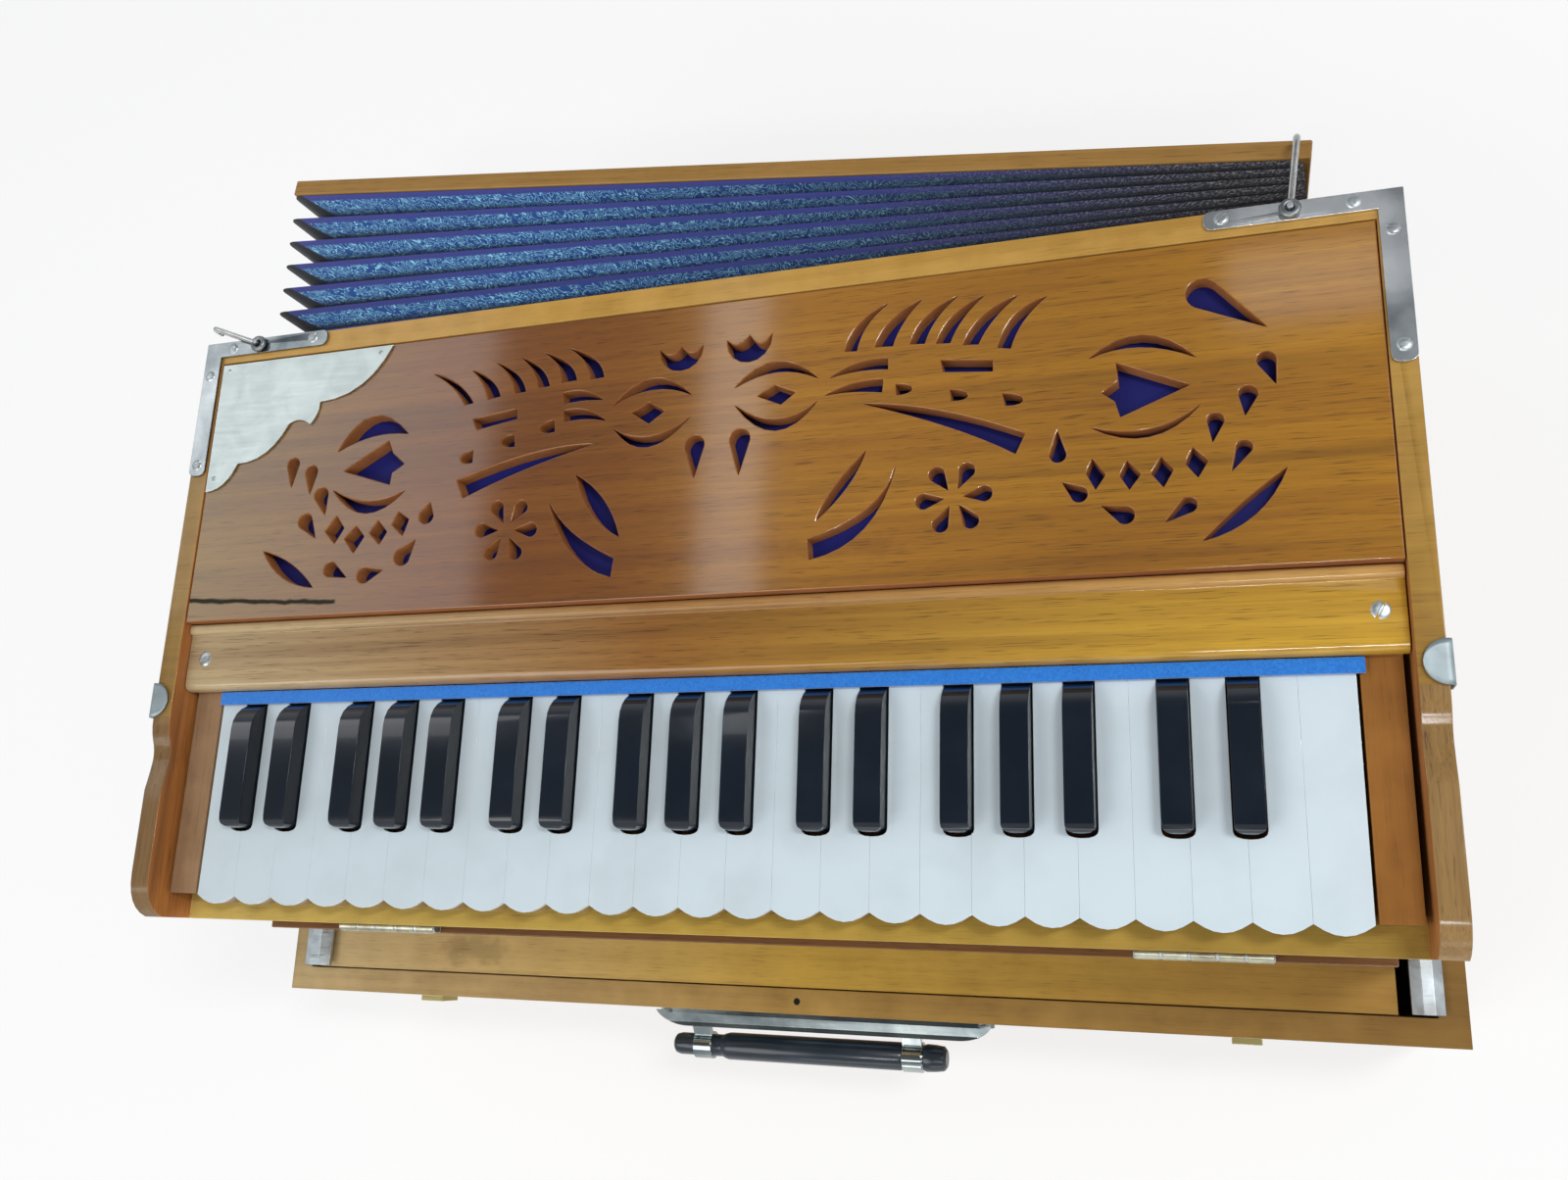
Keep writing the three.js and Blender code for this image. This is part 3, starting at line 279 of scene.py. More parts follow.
def tinted_along_x(material, half_length, stops):
    """Multiplies what feeds the Base Color by a ramp over X, which runs as far to the right of the middle as
    to the left, so that the colour shifts from one end to the other. Where a shift is painted shade, its use says
    so."""
    tree = material.node_tree
    target = tree.nodes["Principled BSDF"].inputs["Base Color"]
    under = target.links[0].from_socket
    tint = over_axis(tree, "X", -half_length, half_length, stops)
    tree.links.new(mix_colour(tree, 1.0, under, tint, "MULTIPLY"), target)


def add_object(name, data):
    """A new object in the scene's own collection."""
    made = bpy.data.objects.new(name, data)
    bpy.context.scene.collection.objects.link(made)
    return made


def soften(piece, edge, segments=2, angle=30):
    """Eases a piece's arrises with a small bevel and shades it smooth up to the given angle."""
    if edge:
        bevel = piece.modifiers.new("eased arrises", "BEVEL")
        bevel.width = edge
        bevel.segments = segments
        bevel.limit_method = "ANGLE"
        bevel.angle_limit = math.radians(angle)
        bevel.use_clamp_overlap = True
        bevel.harden_normals = True
    mesh = piece.data
    mesh.shade_smooth()
    mesh.set_sharp_from_angle(angle=math.radians(angle))


def dressed(node, body, edge, *finishes, segments=2, angle=30, slot=None):
    """A copy of a CAD solid with its triangles merged into flat faces and its arrises eased. It replaces the
    solid and rides on the given body."""
    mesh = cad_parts[node].data.copy()
    cleaner = bmesh.new()
    cleaner.from_mesh(mesh)
    bmesh.ops.remove_doubles(cleaner, verts=cleaner.verts, dist=same_place)
    nearly_flat = math.radians(0.5)
    bmesh.ops.dissolve_limit(cleaner, angle_limit=nearly_flat, verts=cleaner.verts, edges=cleaner.edges)
    cleaner.to_mesh(mesh)
    cleaner.free()
    mesh.materials.clear()
    for finish in finishes:
        mesh.materials.append(finish)
    piece = add_object(node + "_finished", mesh)
    soften(piece, edge, segments, angle)
    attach(piece, body)
    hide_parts(node)
    return piece


def paint_faces(piece, chosen, index):
    """Gives a material slot to the faces whose centre and normal pass the test."""
    mesh = piece.data
    count = len(mesh.polygons)
    centres = np.empty(count * 3)
    normals = np.empty(count * 3)
    slots = np.empty(count, np.int32)
    mesh.polygons.foreach_get("center", centres)
    mesh.polygons.foreach_get("normal", normals)
    mesh.polygons.foreach_get("material_index", slots)
    slots[chosen(centres.reshape(-1, 3), normals.reshape(-1, 3))] = index
    mesh.polygons.foreach_set("material_index", slots)
    mesh.update()


def from_grid(name, points, finish, body, wrap_u=False, wrap_v=False, uv=None):
    """A mesh from an array of points (rows, columns, 3): each four neighbours make a face. It is closed
    round in either direction on request, and takes UVs if given."""
    rows, columns = points.shape[:2]
    u = np.arange(rows if wrap_u else rows - 1)[:, None]
    v = np.arange(columns if wrap_v else columns - 1)[None, :]
    here, along = u * columns + v, ((u + 1) % rows) * columns + v
    over, across = u * columns + (v + 1) % columns, ((u + 1) % rows) * columns + (v + 1) % columns
    faces = np.stack([here, along, across, over], -1).reshape(-1, 4)
    mesh = bpy.data.meshes.new(name)
    mesh.from_pydata(points.reshape(-1, 3).tolist(), [], faces.tolist())
    if uv is not None:
        layer = mesh.uv_layers.new(name="UVMap")
        corners = np.empty(len(mesh.loops), np.int32)
        mesh.loops.foreach_get("vertex_index", corners)
        layer.data.foreach_set("uv", uv.reshape(-1, 2)[corners].astype(np.float32).ravel())
    mesh.materials.append(finish)
    piece = add_object(name, mesh)
    mesh.shade_smooth()
    mesh.set_sharp_from_angle(angle=math.radians(35))
    if body:
        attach(piece, body)
    return piece


def box_of(node):
    """A CAD solid's lowest and highest corner, as arrays."""
    low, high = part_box(node)
    return np.array(low), np.array(high)


brass = start_material("pale brass", Metallic=1.0, Base_Color=(0.46, 0.39, 0.17, 1), Roughness=0.32)[0]
case_pale, case_deep, case_streak = (0.38, 0.27, 0.12), (0.26, 0.16, 0.065), (0.07, 0.03, 0.01)
across_grain = (0, 0, math.pi / 2)
case_wood = varnished("case teak", case_pale, case_deep, case_streak, 0.5, rough=0.74)
case_side_wood = varnished("case side teak", case_pale, case_deep, case_streak, 0.5, turn=across_grain,
                           rough=0.74)
ledge_wood = varnished("ledge teak", (0.6, 0.43, 0.21), (0.44, 0.28, 0.12), case_streak, 0.5,
                       shift=(0.9, 0.4, 0.2))
tinted_along_x(case_wood, 0.28, [(0.0, (1.0, 1.0, 1.0)), (0.5, (0.85, 0.72, 0.38)), (1.0, (0.53, 0.4, 0.2))])
# The ledge is painted darker and browner towards its right end: painted shade where the right cheek shades it.
tinted_along_x(ledge_wood, 0.28, [(0.0, (0.95, 1.0, 1.0)), (0.5, (0.92, 0.82, 0.26)), (1.0, (0.55, 0.43, 0.19))])
scuffed = line_mask(ledge_wood.node_tree, (-0.201, -0.162, -0.173, -0.162), 7 * MM, 0.02)
marked(ledge_wood, scuffed, (0.12, 0.07, 0.03), 0.3)
# The screw hole in the case's front rim is only painted: a near-black disc for the shade inside it.
screw_hole_shade = dot_mask(case_wood.node_tree, -0.0006, -0.1819, 1.7 * MM)
marked(case_wood, screw_hole_shade, (0.004, 0.003, 0.003))
case = dressed("case_box", "frame", 0.9 * MM, case_wood, case_side_wood, brass, ledge_wood, slot="dark_teak")
case_low, case_high = box_of("case_box")
catch_thickness = 3 * MM
catch_near, catch_far = 0.2, 0.22
wall_thickness = 12.2 * MM
ledge_half, ledge_depth, ledge_reach = 0.2725, 22 * MM, 16 * MM
wall_front = case_low[1] + catch_thickness
wall_inner = wall_front + wall_thickness
paint_faces(case, lambda c, n: abs(n[:, 0]) > FACING, 1)
paint_faces(case, lambda c, n: (c[:, 1] < wall_front - 0.2 * MM) & (abs(c[:, 0]) > catch_near)
            & (abs(c[:, 0]) < catch_far), 2)
paint_faces(case, lambda c, n: (c[:, 1] > wall_inner + 0.5 * MM) & (c[:, 1] < wall_inner + ledge_depth)
            & (abs(c[:, 0]) < ledge_half) & (c[:, 2] > case_high[2] - ledge_reach), 3)

# Steel rests inside the case's side walls: bent sheet angles, dull and a little tarnished, on which the body
# stands. They lap over the walls' rims, and their front ends show in the case's two front corners.


def build_metal_marks():
    """Dull metal: cloudy tarnish and short scratches as a mask."""
    inputs = [("Vector", "NodeSocketVector", None), ("Scale", "NodeSocketFloat", 90.0)]
    outputs = [("Cloud", "NodeSocketFloat"), ("Scratch", "NodeSocketFloat")]
    group, start, end = node_group("metal marks", inputs, outputs)
    cloud = noise(group, start.outputs["Vector"], start.outputs["Scale"], 5.0, 0.6)
    links = [("Vector", start.outputs["Vector"]), ("Scale", (40, 700, 300)), ("Rotation", (0, 0, 0.6))]
    scratch = noise(group, add_node(group, "ShaderNodeMapping", links).outputs[0], 1.5, 2.0)
    group.links.new(cloud, end.inputs["Cloud"])
    group.links.new(scratch, end.inputs["Scratch"])
    return group


marks_group = build_metal_marks()


def metal(name, bright, dull, rough_low, rough_high, scale=90.0, bump=0.03 * MM):
    """Metal whose colour and roughness follow its tarnish and scratches."""
    material, tree, shader = start_material(name, Metallic=1.0)
    links = [("Vector", own_place(tree)), ("Scale", scale)]
    marks = add_node(tree, "ShaderNodeGroup", links, node_tree=marks_group)
    share = ramp(tree, marks.outputs["Cloud"], [(0.35, 0.0), (0.7, 1.0)])
    tree.links.new(mix_colour(tree, share, (*bright, 1), (*dull, 1)), shader.inputs["Base Color"])
    links = [("Value", marks.outputs["Scratch"]), ("From Min", 0.3), ("From Max", 0.7),
             ("To Min", rough_low), ("To Max", rough_high)]
    tree.links.new(add_node(tree, "ShaderNodeMapRange", links).outputs[0], shader.inputs["Roughness"])
    set_bump(tree, shader, marks.outputs["Scratch"], 0.3, bump)
    return material


steel = metal("dull steel", (0.6, 0.67, 0.7), (0.36, 0.37, 0.37), 0.28, 0.5)
chrome = metal("chrome", (0.47, 0.52, 0.51), (0.2, 0.24, 0.25), 0.1, 0.16, 35.0, bump=0.0)
for side in ("left", "right"):
    dressed("rest_rail_" + side, "frame", 0.5 * MM, steel, slot="steel")

# Body: two cheeks, a tall rear panel and a front rail of golden teak, glued and screwed.
# The cheeks' tops dip beside the keyboard and round down at the player's end.
teak_pale, teak_deep, teak_streak = (0.39, 0.215, 0.03), (0.26, 0.125, 0.015), (0.09, 0.035, 0.01)
body_wood = varnished("body teak", teak_pale, teak_deep, teak_streak, 0.45)
cheek_wood = varnished("cheek teak", (0.35, 0.195, 0.055), (0.18, 0.085, 0.024), teak_streak, 0.6,
                       turn=across_grain, shift=(0.3, 0.1, 0))
tinted_along_x(cheek_wood, 0.28, [(0.0, (0.62, 0.64, 0.75)), (1.0, (0.85, 0.9, 1.0))])
front_wood = varnished("front rail teak", (0.55, 0.33, 0.068), (0.4, 0.215, 0.04), teak_streak, 0.35,
                       shift=(0.6, 0.1, 0.3))
# The front rail is painted darker and yellower towards its right end: painted shade under the right cheek.
tinted_along_x(front_wood, 0.28, [(0.0, (0.86, 1.0, 1.0)), (0.5, (0.72, 0.77, 0.5)), (1.0, (0.56, 0.58, 0.4))])
body_width, cheek_width = 572 * MM, 10.4 * MM
cheek_share, joint_share = cheek_width / body_width, 0.004
body_tints = [(0.0, (0.6, 0.62, 0.75)), (cheek_share, (0.6, 0.62, 0.75)),
             (cheek_share + joint_share, (1.0, 1.0, 1.0)), (1 - cheek_share - joint_share, (1.0, 1.0, 1.0)),
             (1 - cheek_share, (0.86, 0.88, 0.9))]
tinted_along_x(body_wood, body_width / 2, body_tints)
# The cheeks' inner faces take their own redder teak, brighter than the tinted outer faces: painted light on the
# faces that look in over the keys.
lit_inner_wood = varnished("cheek inner teak", (0.45, 0.17, 0.035), (0.26, 0.085, 0.018), teak_streak, 0.5,
                       turn=across_grain, shift=(0.1, 0.7, 0.3))
carcass = dressed("carcass", "frame", 1.1 * MM, body_wood, cheek_wood, steel, front_wood, lit_inner_wood,
                  segments=3, slot="teak")
body_low, body_high = box_of("carcass")
cheek_inner = body_high[0] - cheek_width
front_rail_depth = 20 * MM
rear_face = body_low[1] + 292.5 * MM
paint_faces(carcass, lambda c, n: c[:, 1] < body_low[1] + front_rail_depth, 3)
paint_faces(carcass, lambda c, n: abs(c[:, 0]) > cheek_inner, 1)
paint_faces(carcass, lambda c, n: (n[:, 0] * np.sign(c[:, 0]) < -FACING)
            & (abs(c[:, 0]) > cheek_inner - 4 * MM), 4)
paint_faces(carcass, lambda c, n: c[:, 1] > rear_face + 0.3 * MM, 2)

# Key bed with its balance rail, and a teak block glued down at each end of the keyboard.
# The blocks' tops lie level with the white keys.
block_wood = varnished("block teak", (0.33, 0.15, 0.055), (0.17, 0.068, 0.026), teak_streak, 0.4,
                       turn=across_grain, shift=(0.7, 0.2, 0))
tinted_along_x(block_wood, 0.26, [(0.0, (0.7, 0.86, 1.0)), (1.0, (0.72, 0.6, 0.2))])
dressed("key_bed", "frame", 0.8 * MM, block_wood, slot="teak")

# White keys: wooden levers capped with glossy bluish-white plastic, each with a round lip in front.
# Their sides are a little grimy where they rub.


def plastic(name, colour, grime, rough, coat, bump, specular=0.5):
    """Glossy key plastic with a faint cast-in unevenness and grime gathered in patches."""
    material, tree, shader = start_material(name, Roughness=rough, Coat_Weight=coat, Coat_Roughness=0.05,
                                            Specular_IOR_Level=specular)
    place = own_place(tree)
    share = ramp(tree, noise(tree, place, 38.0, 4.0), [(0.45, 0.0), (0.85, 1.0)])
    tree.links.new(mix_colour(tree, share, (*colour, 1), (*grime, 1)), shader.inputs["Base Color"])
    set_bump(tree, shader, noise(tree, place, 120.0, 1.0), 0.4, bump)
    return material


white_plastic = plastic("white key plastic", (0.64, 0.735, 0.79), (0.57, 0.66, 0.70), 0.16, 0.3, 0.05 * MM)
# The white keys are painted a little darker towards the left end of the keyboard: painted shade.
tinted_along_x(white_plastic, 0.25, [(0.0, (0.86, 0.86, 0.85)), (1.0, (0.98, 0.98, 0.98))])
lever_wood = varnished("lever wood", (0.45, 0.3, 0.14), (0.33, 0.2, 0.09), (0.2, 0.1, 0.04), 0.2,
                       turn=across_grain, coat=0.0, rough=0.98)
seam_closing = 0.33 * MM
cap_thickness, cap_blur = 2.2 * MM, 0.3 * MM
cap_bottom = box_of("white_key_01")[1][2] - cap_thickness
# Below the cap each key's front wall is painted dark wood: the lever's own wood, darkened further with painted
# shade under the lip.
below_cap = over_axis(white_plastic.node_tree, "Z", cap_bottom - cap_blur, cap_bottom + cap_blur,
                      [(0.0, 1.0), (1.0, 0.0)])
marked(white_plastic, below_cap, (0.16, 0.085, 0.03))
cap_end = box_of("felt_strip")[0][1] + 6 * MM
side_depth = 0.05 * MM
for name in [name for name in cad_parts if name.startswith("white_key")]:
    key = dressed(name, name, 0.14 * MM, white_plastic, lever_wood, segments=3, slot="ivory")
    key_low, key_high = box_of(name)
    spots = np.empty(len(key.data.vertices) * 3)
    key.data.vertices.foreach_get("co", spots)
    spots = spots.reshape(-1, 3)
    on_right = spots[:, 0] > key_high[0] - side_depth
    on_left = spots[:, 0] < key_low[0] + side_depth
    spots[:, 0] += seam_closing * (on_right * 1.0 - on_left)
    key.data.vertices.foreach_set("co", spots.ravel())
    paint_faces(key, lambda c, n: (n[:, 2] < -0.5) | (c[:, 1] > cap_end), 1)

# Black keys: tall caps of glossy near-black plastic with full round long edges.
# Each rises in a curve from under the felt and rounds down at its front.
black_plastic = plastic("black key plastic", (0.003, 0.007, 0.014), (0.007, 0.013, 0.023), 0.16, 0.45,
                        0.08 * MM)
# The keys' long sides take a duller copy of the same plastic, with no coat and little shine: painted shade on their
# sides.
shaded_black_side = plastic("black key side plastic", (0.004, 0.006, 0.011), (0.009, 0.012, 0.018), 0.3, 0.0,
                     0.06 * MM, specular=0.2)
for name in [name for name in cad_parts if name.startswith("black_key")]:
    key = dressed(name, name, 1.7 * MM, black_plastic, shaded_black_side, segments=5, slot="ebony")
    paint_faces(key, lambda c, n: abs(n[:, 0]) > FACING, 1)
    key.modifiers["eased arrises"].material = 0

# Name rail: one glossy teak moulding across the body with a bead at its back, held by a screw at each end.
rail_wood = varnished("name rail teak", (0.59, 0.34, 0.18), (0.38, 0.19, 0.1), teak_streak, 0.35,
                      shift=(0.15, 0.33, 0.1), rough=0.62, coat=0.7, coat_rough=0.07)
rail_tints = [(0.0, (0.76, 1.0, 1.0)), (0.45, (0.46, 0.34, 0.1)), (0.7, (0.66, 0.62, 0.12)),
             (1.0, (0.98, 1.0, 0.15))]
tinted_along_x(rail_wood, 0.26, rail_tints)
bead_wood = varnished("bead teak", (0.56, 0.33, 0.17), (0.38, 0.2, 0.1), teak_streak, 0.35,
                      shift=(0.2, 0.8, 0.5))
tinted_along_x(bead_wood, 0.26, [(0.0, (0.78, 1.0, 1.0)), (0.45, (0.54, 0.46, 0.26)), (1.0, (0.82, 0.78, 0.42))])
name_rail = dressed("name_rail", "frame", 0.5 * MM, rail_wood, bead_wood, slot="teak")
rail_low, rail_high = box_of("name_rail")
bead_depth = 8.5 * MM
paint_faces(name_rail, lambda c, n: c[:, 1] > rail_high[1] - bead_depth, 1)


def screw_head(name, centre, radius, rise, finish, body, turn=0.0):
    """A domed screw head with a cut slot, worked out at size one: height 1 - r^4, lowered by the slot's
    depth within the slot's half width, with a skirt and an underside sunk in the wood."""
    spokes, sunk = 48, -0.9
    slot_half, slot_depth, slot_reach = 0.12, 0.4, 0.93
    r = np.concatenate([[0.0001], np.linspace(0.08, 1, 14)])[:, None]
    angle = np.linspace(0, 2 * np.pi, spokes, endpoint=False)[None, :]
    x, y = r * np.cos(angle), r * np.sin(angle)
    z = 1 - r ** 4 * np.ones_like(angle)
    slotted = (np.abs(x * math.sin(turn) - y * math.cos(turn)) < slot_half) & (r < slot_reach)
    z = np.where(slotted, z - slot_depth, z)
    skirt = np.stack([x[-1], y[-1], np.full(spokes, sunk)], -1)[None]
    under = np.stack([x[0], y[0], np.full(spokes, sunk)], -1)[None]
    points = np.concatenate([np.stack([x, y, z], -1), skirt, under])[::-1]
    points = points * np.array([radius, radius, rise]) + np.array(centre)
    return from_grid(name, points, finish, body, wrap_v=True)


screw_line = rail_low[1] + 15.6 * MM
rail_face = rail_high[2] - 2.6 * MM
for side, x, size, turn in (("left", -0.2645, 4.4 * MM, 0.5), ("right", 0.2655, 4.3 * MM, 1.1)):
    screw_head("rail_screw_" + side, (x, screw_line, rail_face), size, 1.2 * MM, steel, "frame", turn)

# Blue felt strip: a narrow woollen felt tucked under the name rail.
# It hushes the keys where they spring back up against the rail.


def felted(name, colour, fleck):
    """Woollen felt: a matt sheen and tangled fibres as fine noise."""
    material, tree, shader = start_material(name, Roughness=1.0, Sheen_Weight=0.6, Sheen_Roughness=0.5,
                                            Specular_IOR_Level=0.1)
    fibres = noise(tree, own_place(tree), 900.0, 5.0, 1.2)
    share = ramp(tree, fibres, [(0.35, 0.0), (0.65, 1.0)])
    tree.links.new(mix_colour(tree, share, (*colour, 1), (*fleck, 1)), shader.inputs["Base Color"])
    set_bump(tree, shader, fibres, 0.8, 0.3 * MM)
    return material


blue_felt = felted("blue felt", (0.017, 0.15, 0.54), (0.03, 0.22, 0.7))
dressed("felt_strip", "frame", 0.5 * MM, blue_felt, slot="felt")

# Fret panel: a teak board pierced by hand with a saw and knife, lying on the rim behind the name rail.
# The cut walls were left redder than the varnished face, and its left end has cracked.
panel_wood = varnished("panel teak", (0.44, 0.21, 0.022), (0.27, 0.108, 0.015), (0.07, 0.024, 0.006), 0.45,
                       shift=(0.05, 0.02, 0.0), coat=1.0, coat_rough=0.09, wear_edge=1.0)
panel_tints = [(0.0, (0.54, 0.62, 0.7)), (0.25, (0.44, 0.29, 0.2)), (0.42, (0.5, 0.38, 0.35)),
              (0.58, (0.88, 0.84, 0.7)), (0.8, (0.8, 0.76, 0.34)), (1.0, (0.95, 0.93, 0.4))]
tinted_along_x(panel_wood, 0.276, panel_tints)
panel_tree = panel_wood.node_tree
dark_heartwood = [((-0.13, 0.007, 0.08, 0.008), 4 * MM, 0.012, (0.1, 0.028, 0.007), 0.22),
                  ((-0.05, 0.032, 0.06, 0.034), 13 * MM, 0.03, (0.15, 0.05, 0.01), 0.1),
                  ((-0.2, 0.018, -0.1, 0.02), 5 * MM, 0.02, (0.12, 0.045, 0.012), 0.15)]
for ends, half_width, wander, colour, strength in dark_heartwood:
    marked(panel_wood, line_mask(panel_tree, ends, half_width, wander), colour, strength)
# The crack is painted: a near-black line without coat, for the shade in the split.
crack = line_mask(panel_tree, (-0.276, 0.0003, -0.189, -0.0042), 1.1 * MM, 0.0025)
marked(panel_wood, crack, (0.018, 0.016, 0.009))
unbroken = math_node(panel_tree, "SUBTRACT", 1.0, crack)
panel_tree.links.new(unbroken, panel_tree.nodes["Principled BSDF"].inputs["Coat Weight"])
scribe = line_mask(panel_tree, (-0.1885, 0.005, -0.1885, -0.012), 0.45 * MM, 0.001)
marked(panel_wood, scribe, (0.1, 0.07, 0.04), 0.5)
cut_wood = varnished("cut wood", (0.34, 0.125, 0.03), (0.2, 0.062, 0.016), teak_streak, 0.2, rough=0.88,
                     coat=0.1)
panel_low, panel_high = box_of("fret_panel")


def face_outlines(node):
    """The closed outlines of a solid's top face: edges between an upward face and a wall, end to end."""
    upright = 0.9
    work = bmesh.new()
    work.from_mesh(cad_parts[node].data)
    bmesh.ops.remove_doubles(work, verts=work.verts, dist=same_place)
    onward = {}
    for face in work.faces:
        if face.normal.z > upright and face.calc_center_median().z > panel_high[2] - 0.1 * MM:
            for corner in face.loops:
                other = corner.link_loop_radial_next.face
                if other.normal.z < upright:
                    onward[corner.vert.index] = corner.link_loop_next.vert.index
    work.verts.ensure_lookup_table()
    places = {index: work.verts[index].co.copy() for index in onward}
    work.free()
    outlines = []
    while onward:
        start, here = onward.popitem()
        outline = [start]
        while here != start:
            outline.append(here)
            here = onward.pop(here)
        outlines.append(np.array([places[index][:2] for index in outline]))
    return outlines


def pushed_in(outline, distance):
    """An outline moved sideways towards the wood, along the mean of each corner's two edge normals."""
    edge = np.roll(outline, -1, 0) - outline
    edge /= np.maximum(np.linalg.norm(edge, axis=1, keepdims=True), 1e-9)
    side = np.stack([-edge[:, 1], edge[:, 0]], -1)
    mean = side + np.roll(side, 1, 0)
    mean /= np.maximum(np.linalg.norm(mean, axis=1, keepdims=True), 0.5)
    return outline + mean * distance


def finer(outline, step):
    """The same outline with points at most one step apart."""
    ends = np.roll(outline, -1, 0)
    pieces = []
    for here, onward in zip(outline, ends):
        count = max(1, int(np.ceil(np.linalg.norm(onward - here) / step)))
        pieces.append(here + (onward - here) * (np.arange(count) / count)[:, None])
    return np.concatenate(pieces)


def pierced_panel():
    """A quarter-round lip (distance r(1 - sin a), depth r(1 - cos a)) and a wall along every outline, a flat
    top between them and a flat back, all as one closed mesh. The two flats are triangles of a plane
    triangulation whose middles lie inside an odd number of outlines. Returns points, faces and a flag for
    the walls."""
    lip = 0.5 * MM
    top, bottom = panel_high[2], panel_low[2]
    points, faces, walls, rings = [], [], [], []
    angle = np.linspace(0, np.pi / 2, 4)
    for outline in face_outlines("fret_panel"):
        loop = finer(outline, 2.5 * MM)
        levels = [(lip * (1 - np.sin(a)), top - lip * (1 - np.cos(a))) for a in angle] + [(0, bottom)]
        base = len(points)
        count = len(loop)
        for distance, z in levels:
            ring = pushed_in(loop, distance)
            points.extend(np.column_stack([ring, np.full(count, z)]).tolist())
        for level in range(len(levels) - 1):
            for index in range(count):
                here, onward = base + level * count + index, base + level * count + (index + 1) % count
                faces.append((here, here + count, onward + count, onward))
                walls.append(level > 0)
        rings.append((base, count, len(levels)))
    flat = np.array(points)[:, :2]
    for level, upward in ((0, True), (-1, False)):
        used, edges = [], []
        for base, count, levels in rings:
            start = base + (level % levels) * count
            first = len(used)
            used.extend(range(start, start + count))
            edges.extend((first + k, first + (k + 1) % count) for k in range(count))
        corners = [Vector(flat[index]) for index in used]
        kept = geometry.delaunay_2d_cdt(corners, edges, [], 0, 1e-7)
        corners_out, triangles, origins = kept[0], kept[2], kept[3]
        names = [used[origin[0]] if origin else None for origin in origins]
        starts = [(base + (level % levels) * count, count) for base, count, levels in rings]
        sets = [flat[start:start + count] for start, count in starts]
        middles = np.array([np.mean([corners_out[k][:] for k in triangle], 0) for triangle in triangles])
        inside = np.zeros(len(middles), int)
        for outline in sets:
            ends = np.roll(outline, -1, 0)
            for (x0, y0), (x1, y1) in zip(outline, ends):
                if y0 != y1:
                    crosses = (middles[:, 1] > min(y0, y1)) & (middles[:, 1] <= max(y0, y1))
                    reach = x0 + (middles[:, 1] - y0) * (x1 - x0) / (y1 - y0)
                    inside += crosses & (middles[:, 0] < reach)
        for triangle, times in zip(triangles, inside):
            if times % 2 and all(names[k] is not None for k in triangle):
                chosen = [names[k] for k in triangle]
                a, b, c = (flat[k] for k in chosen)
                turning = (b[0] - a[0]) * (c[1] - a[1]) - (b[1] - a[1]) * (c[0] - a[0]) > 0
                faces.append(tuple(chosen) if turning == upward else tuple(chosen[::-1]))
                walls.append(False)
    return points, faces, walls


points, faces, walls = pierced_panel()
mesh = bpy.data.meshes.new("fret_panel_finished")
mesh.from_pydata(points, [], faces)
for finish in (panel_wood, cut_wood):
    mesh.materials.append(finish)
mesh.polygons.foreach_set("material_index", np.array(walls, np.int32))
mesh.update()
panel = add_object("fret_panel_finished", mesh)
mesh.shade_smooth()
mesh.set_sharp_from_angle(angle=math.radians(32))
turned = np.empty(len(mesh.polygons) * 3)
mesh.polygons.foreach_get("normal", turned)
level_face = 0.9999
mesh.polygons.foreach_set("use_smooth", np.abs(turned.reshape(-1, 3)[:, 2]) < level_face)
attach(panel, "frame")
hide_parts("fret_panel")

# Lining: indigo satin under the panel, which shows through every cut.
# It is glued along its edges and lies nearly flat.
satin, tree, shader = start_material("indigo satin", Roughness=0.5, Sheen_Weight=0.04,
                                     Sheen_Tint=(0.5, 0.55, 1, 1), Specular_IOR_Level=0.12)
links = [("Vector", own_place(tree)), ("Scale", 520.0), ("Distortion", 0.4)]
weave = add_node(tree, "ShaderNodeTexWave", links).outputs["Fac"]
raised = ramp(tree, weave, [(0.2, 0.0), (0.8, 1.0)])
indigo = mix_colour(tree, raised, (0.009, 0.01, 0.1, 1), (0.016, 0.017, 0.155, 1))
tree.links.new(indigo, shader.inputs["Base Color"])
set_bump(tree, shader, weave, 0.3, 0.08 * MM)


def lining():
    """A flat sheet just under the panel, with a faint ripple: the product of two sines."""
    margin, front_margin, below, swell = 10 * MM, 2 * MM, 0.45 * MM, 0.12 * MM
    x = np.linspace(panel_low[0] + margin, panel_high[0] - margin, 150)[:, None]
    y = np.linspace(panel_low[1] + front_margin, panel_high[1] - margin, 40)[None, :]
    ripple = np.sin(x * 130) * np.sin(y * 170 + x * 40) * swell
    x, y = np.broadcast_arrays(x, y)
    return np.stack([x, y, panel_low[2] - below + ripple], -1)


from_grid("lining", lining(), satin, "frame")

# Blank plate in the panel's rear left corner: thin sheet metal cut in scallops and held with small nails.
# Its nails, like several places below, are measured along Y from key_y, where the white keys' lips begin.
sheet_metal = metal("blank sheet metal", (0.76, 0.85, 0.84), (0.6, 0.68, 0.67), 0.42, 0.52, 60.0)
dressed("blank_plate", "frame", 0.25 * MM, sheet_metal, slot="steel")
blank_top = box_of("blank_plate")[1][2]
key_y = -0.1404
for index, (x, y) in enumerate([(-0.2695, 0.2625), (-0.178, 0.2625), (-0.2695, 0.204)]):
    place = (x, y + key_y, blank_top)
    screw_head(f"blank_nail_{index + 1}", place, 1.3 * MM, 0.5 * MM, steel, "frame", 0.3 + index)

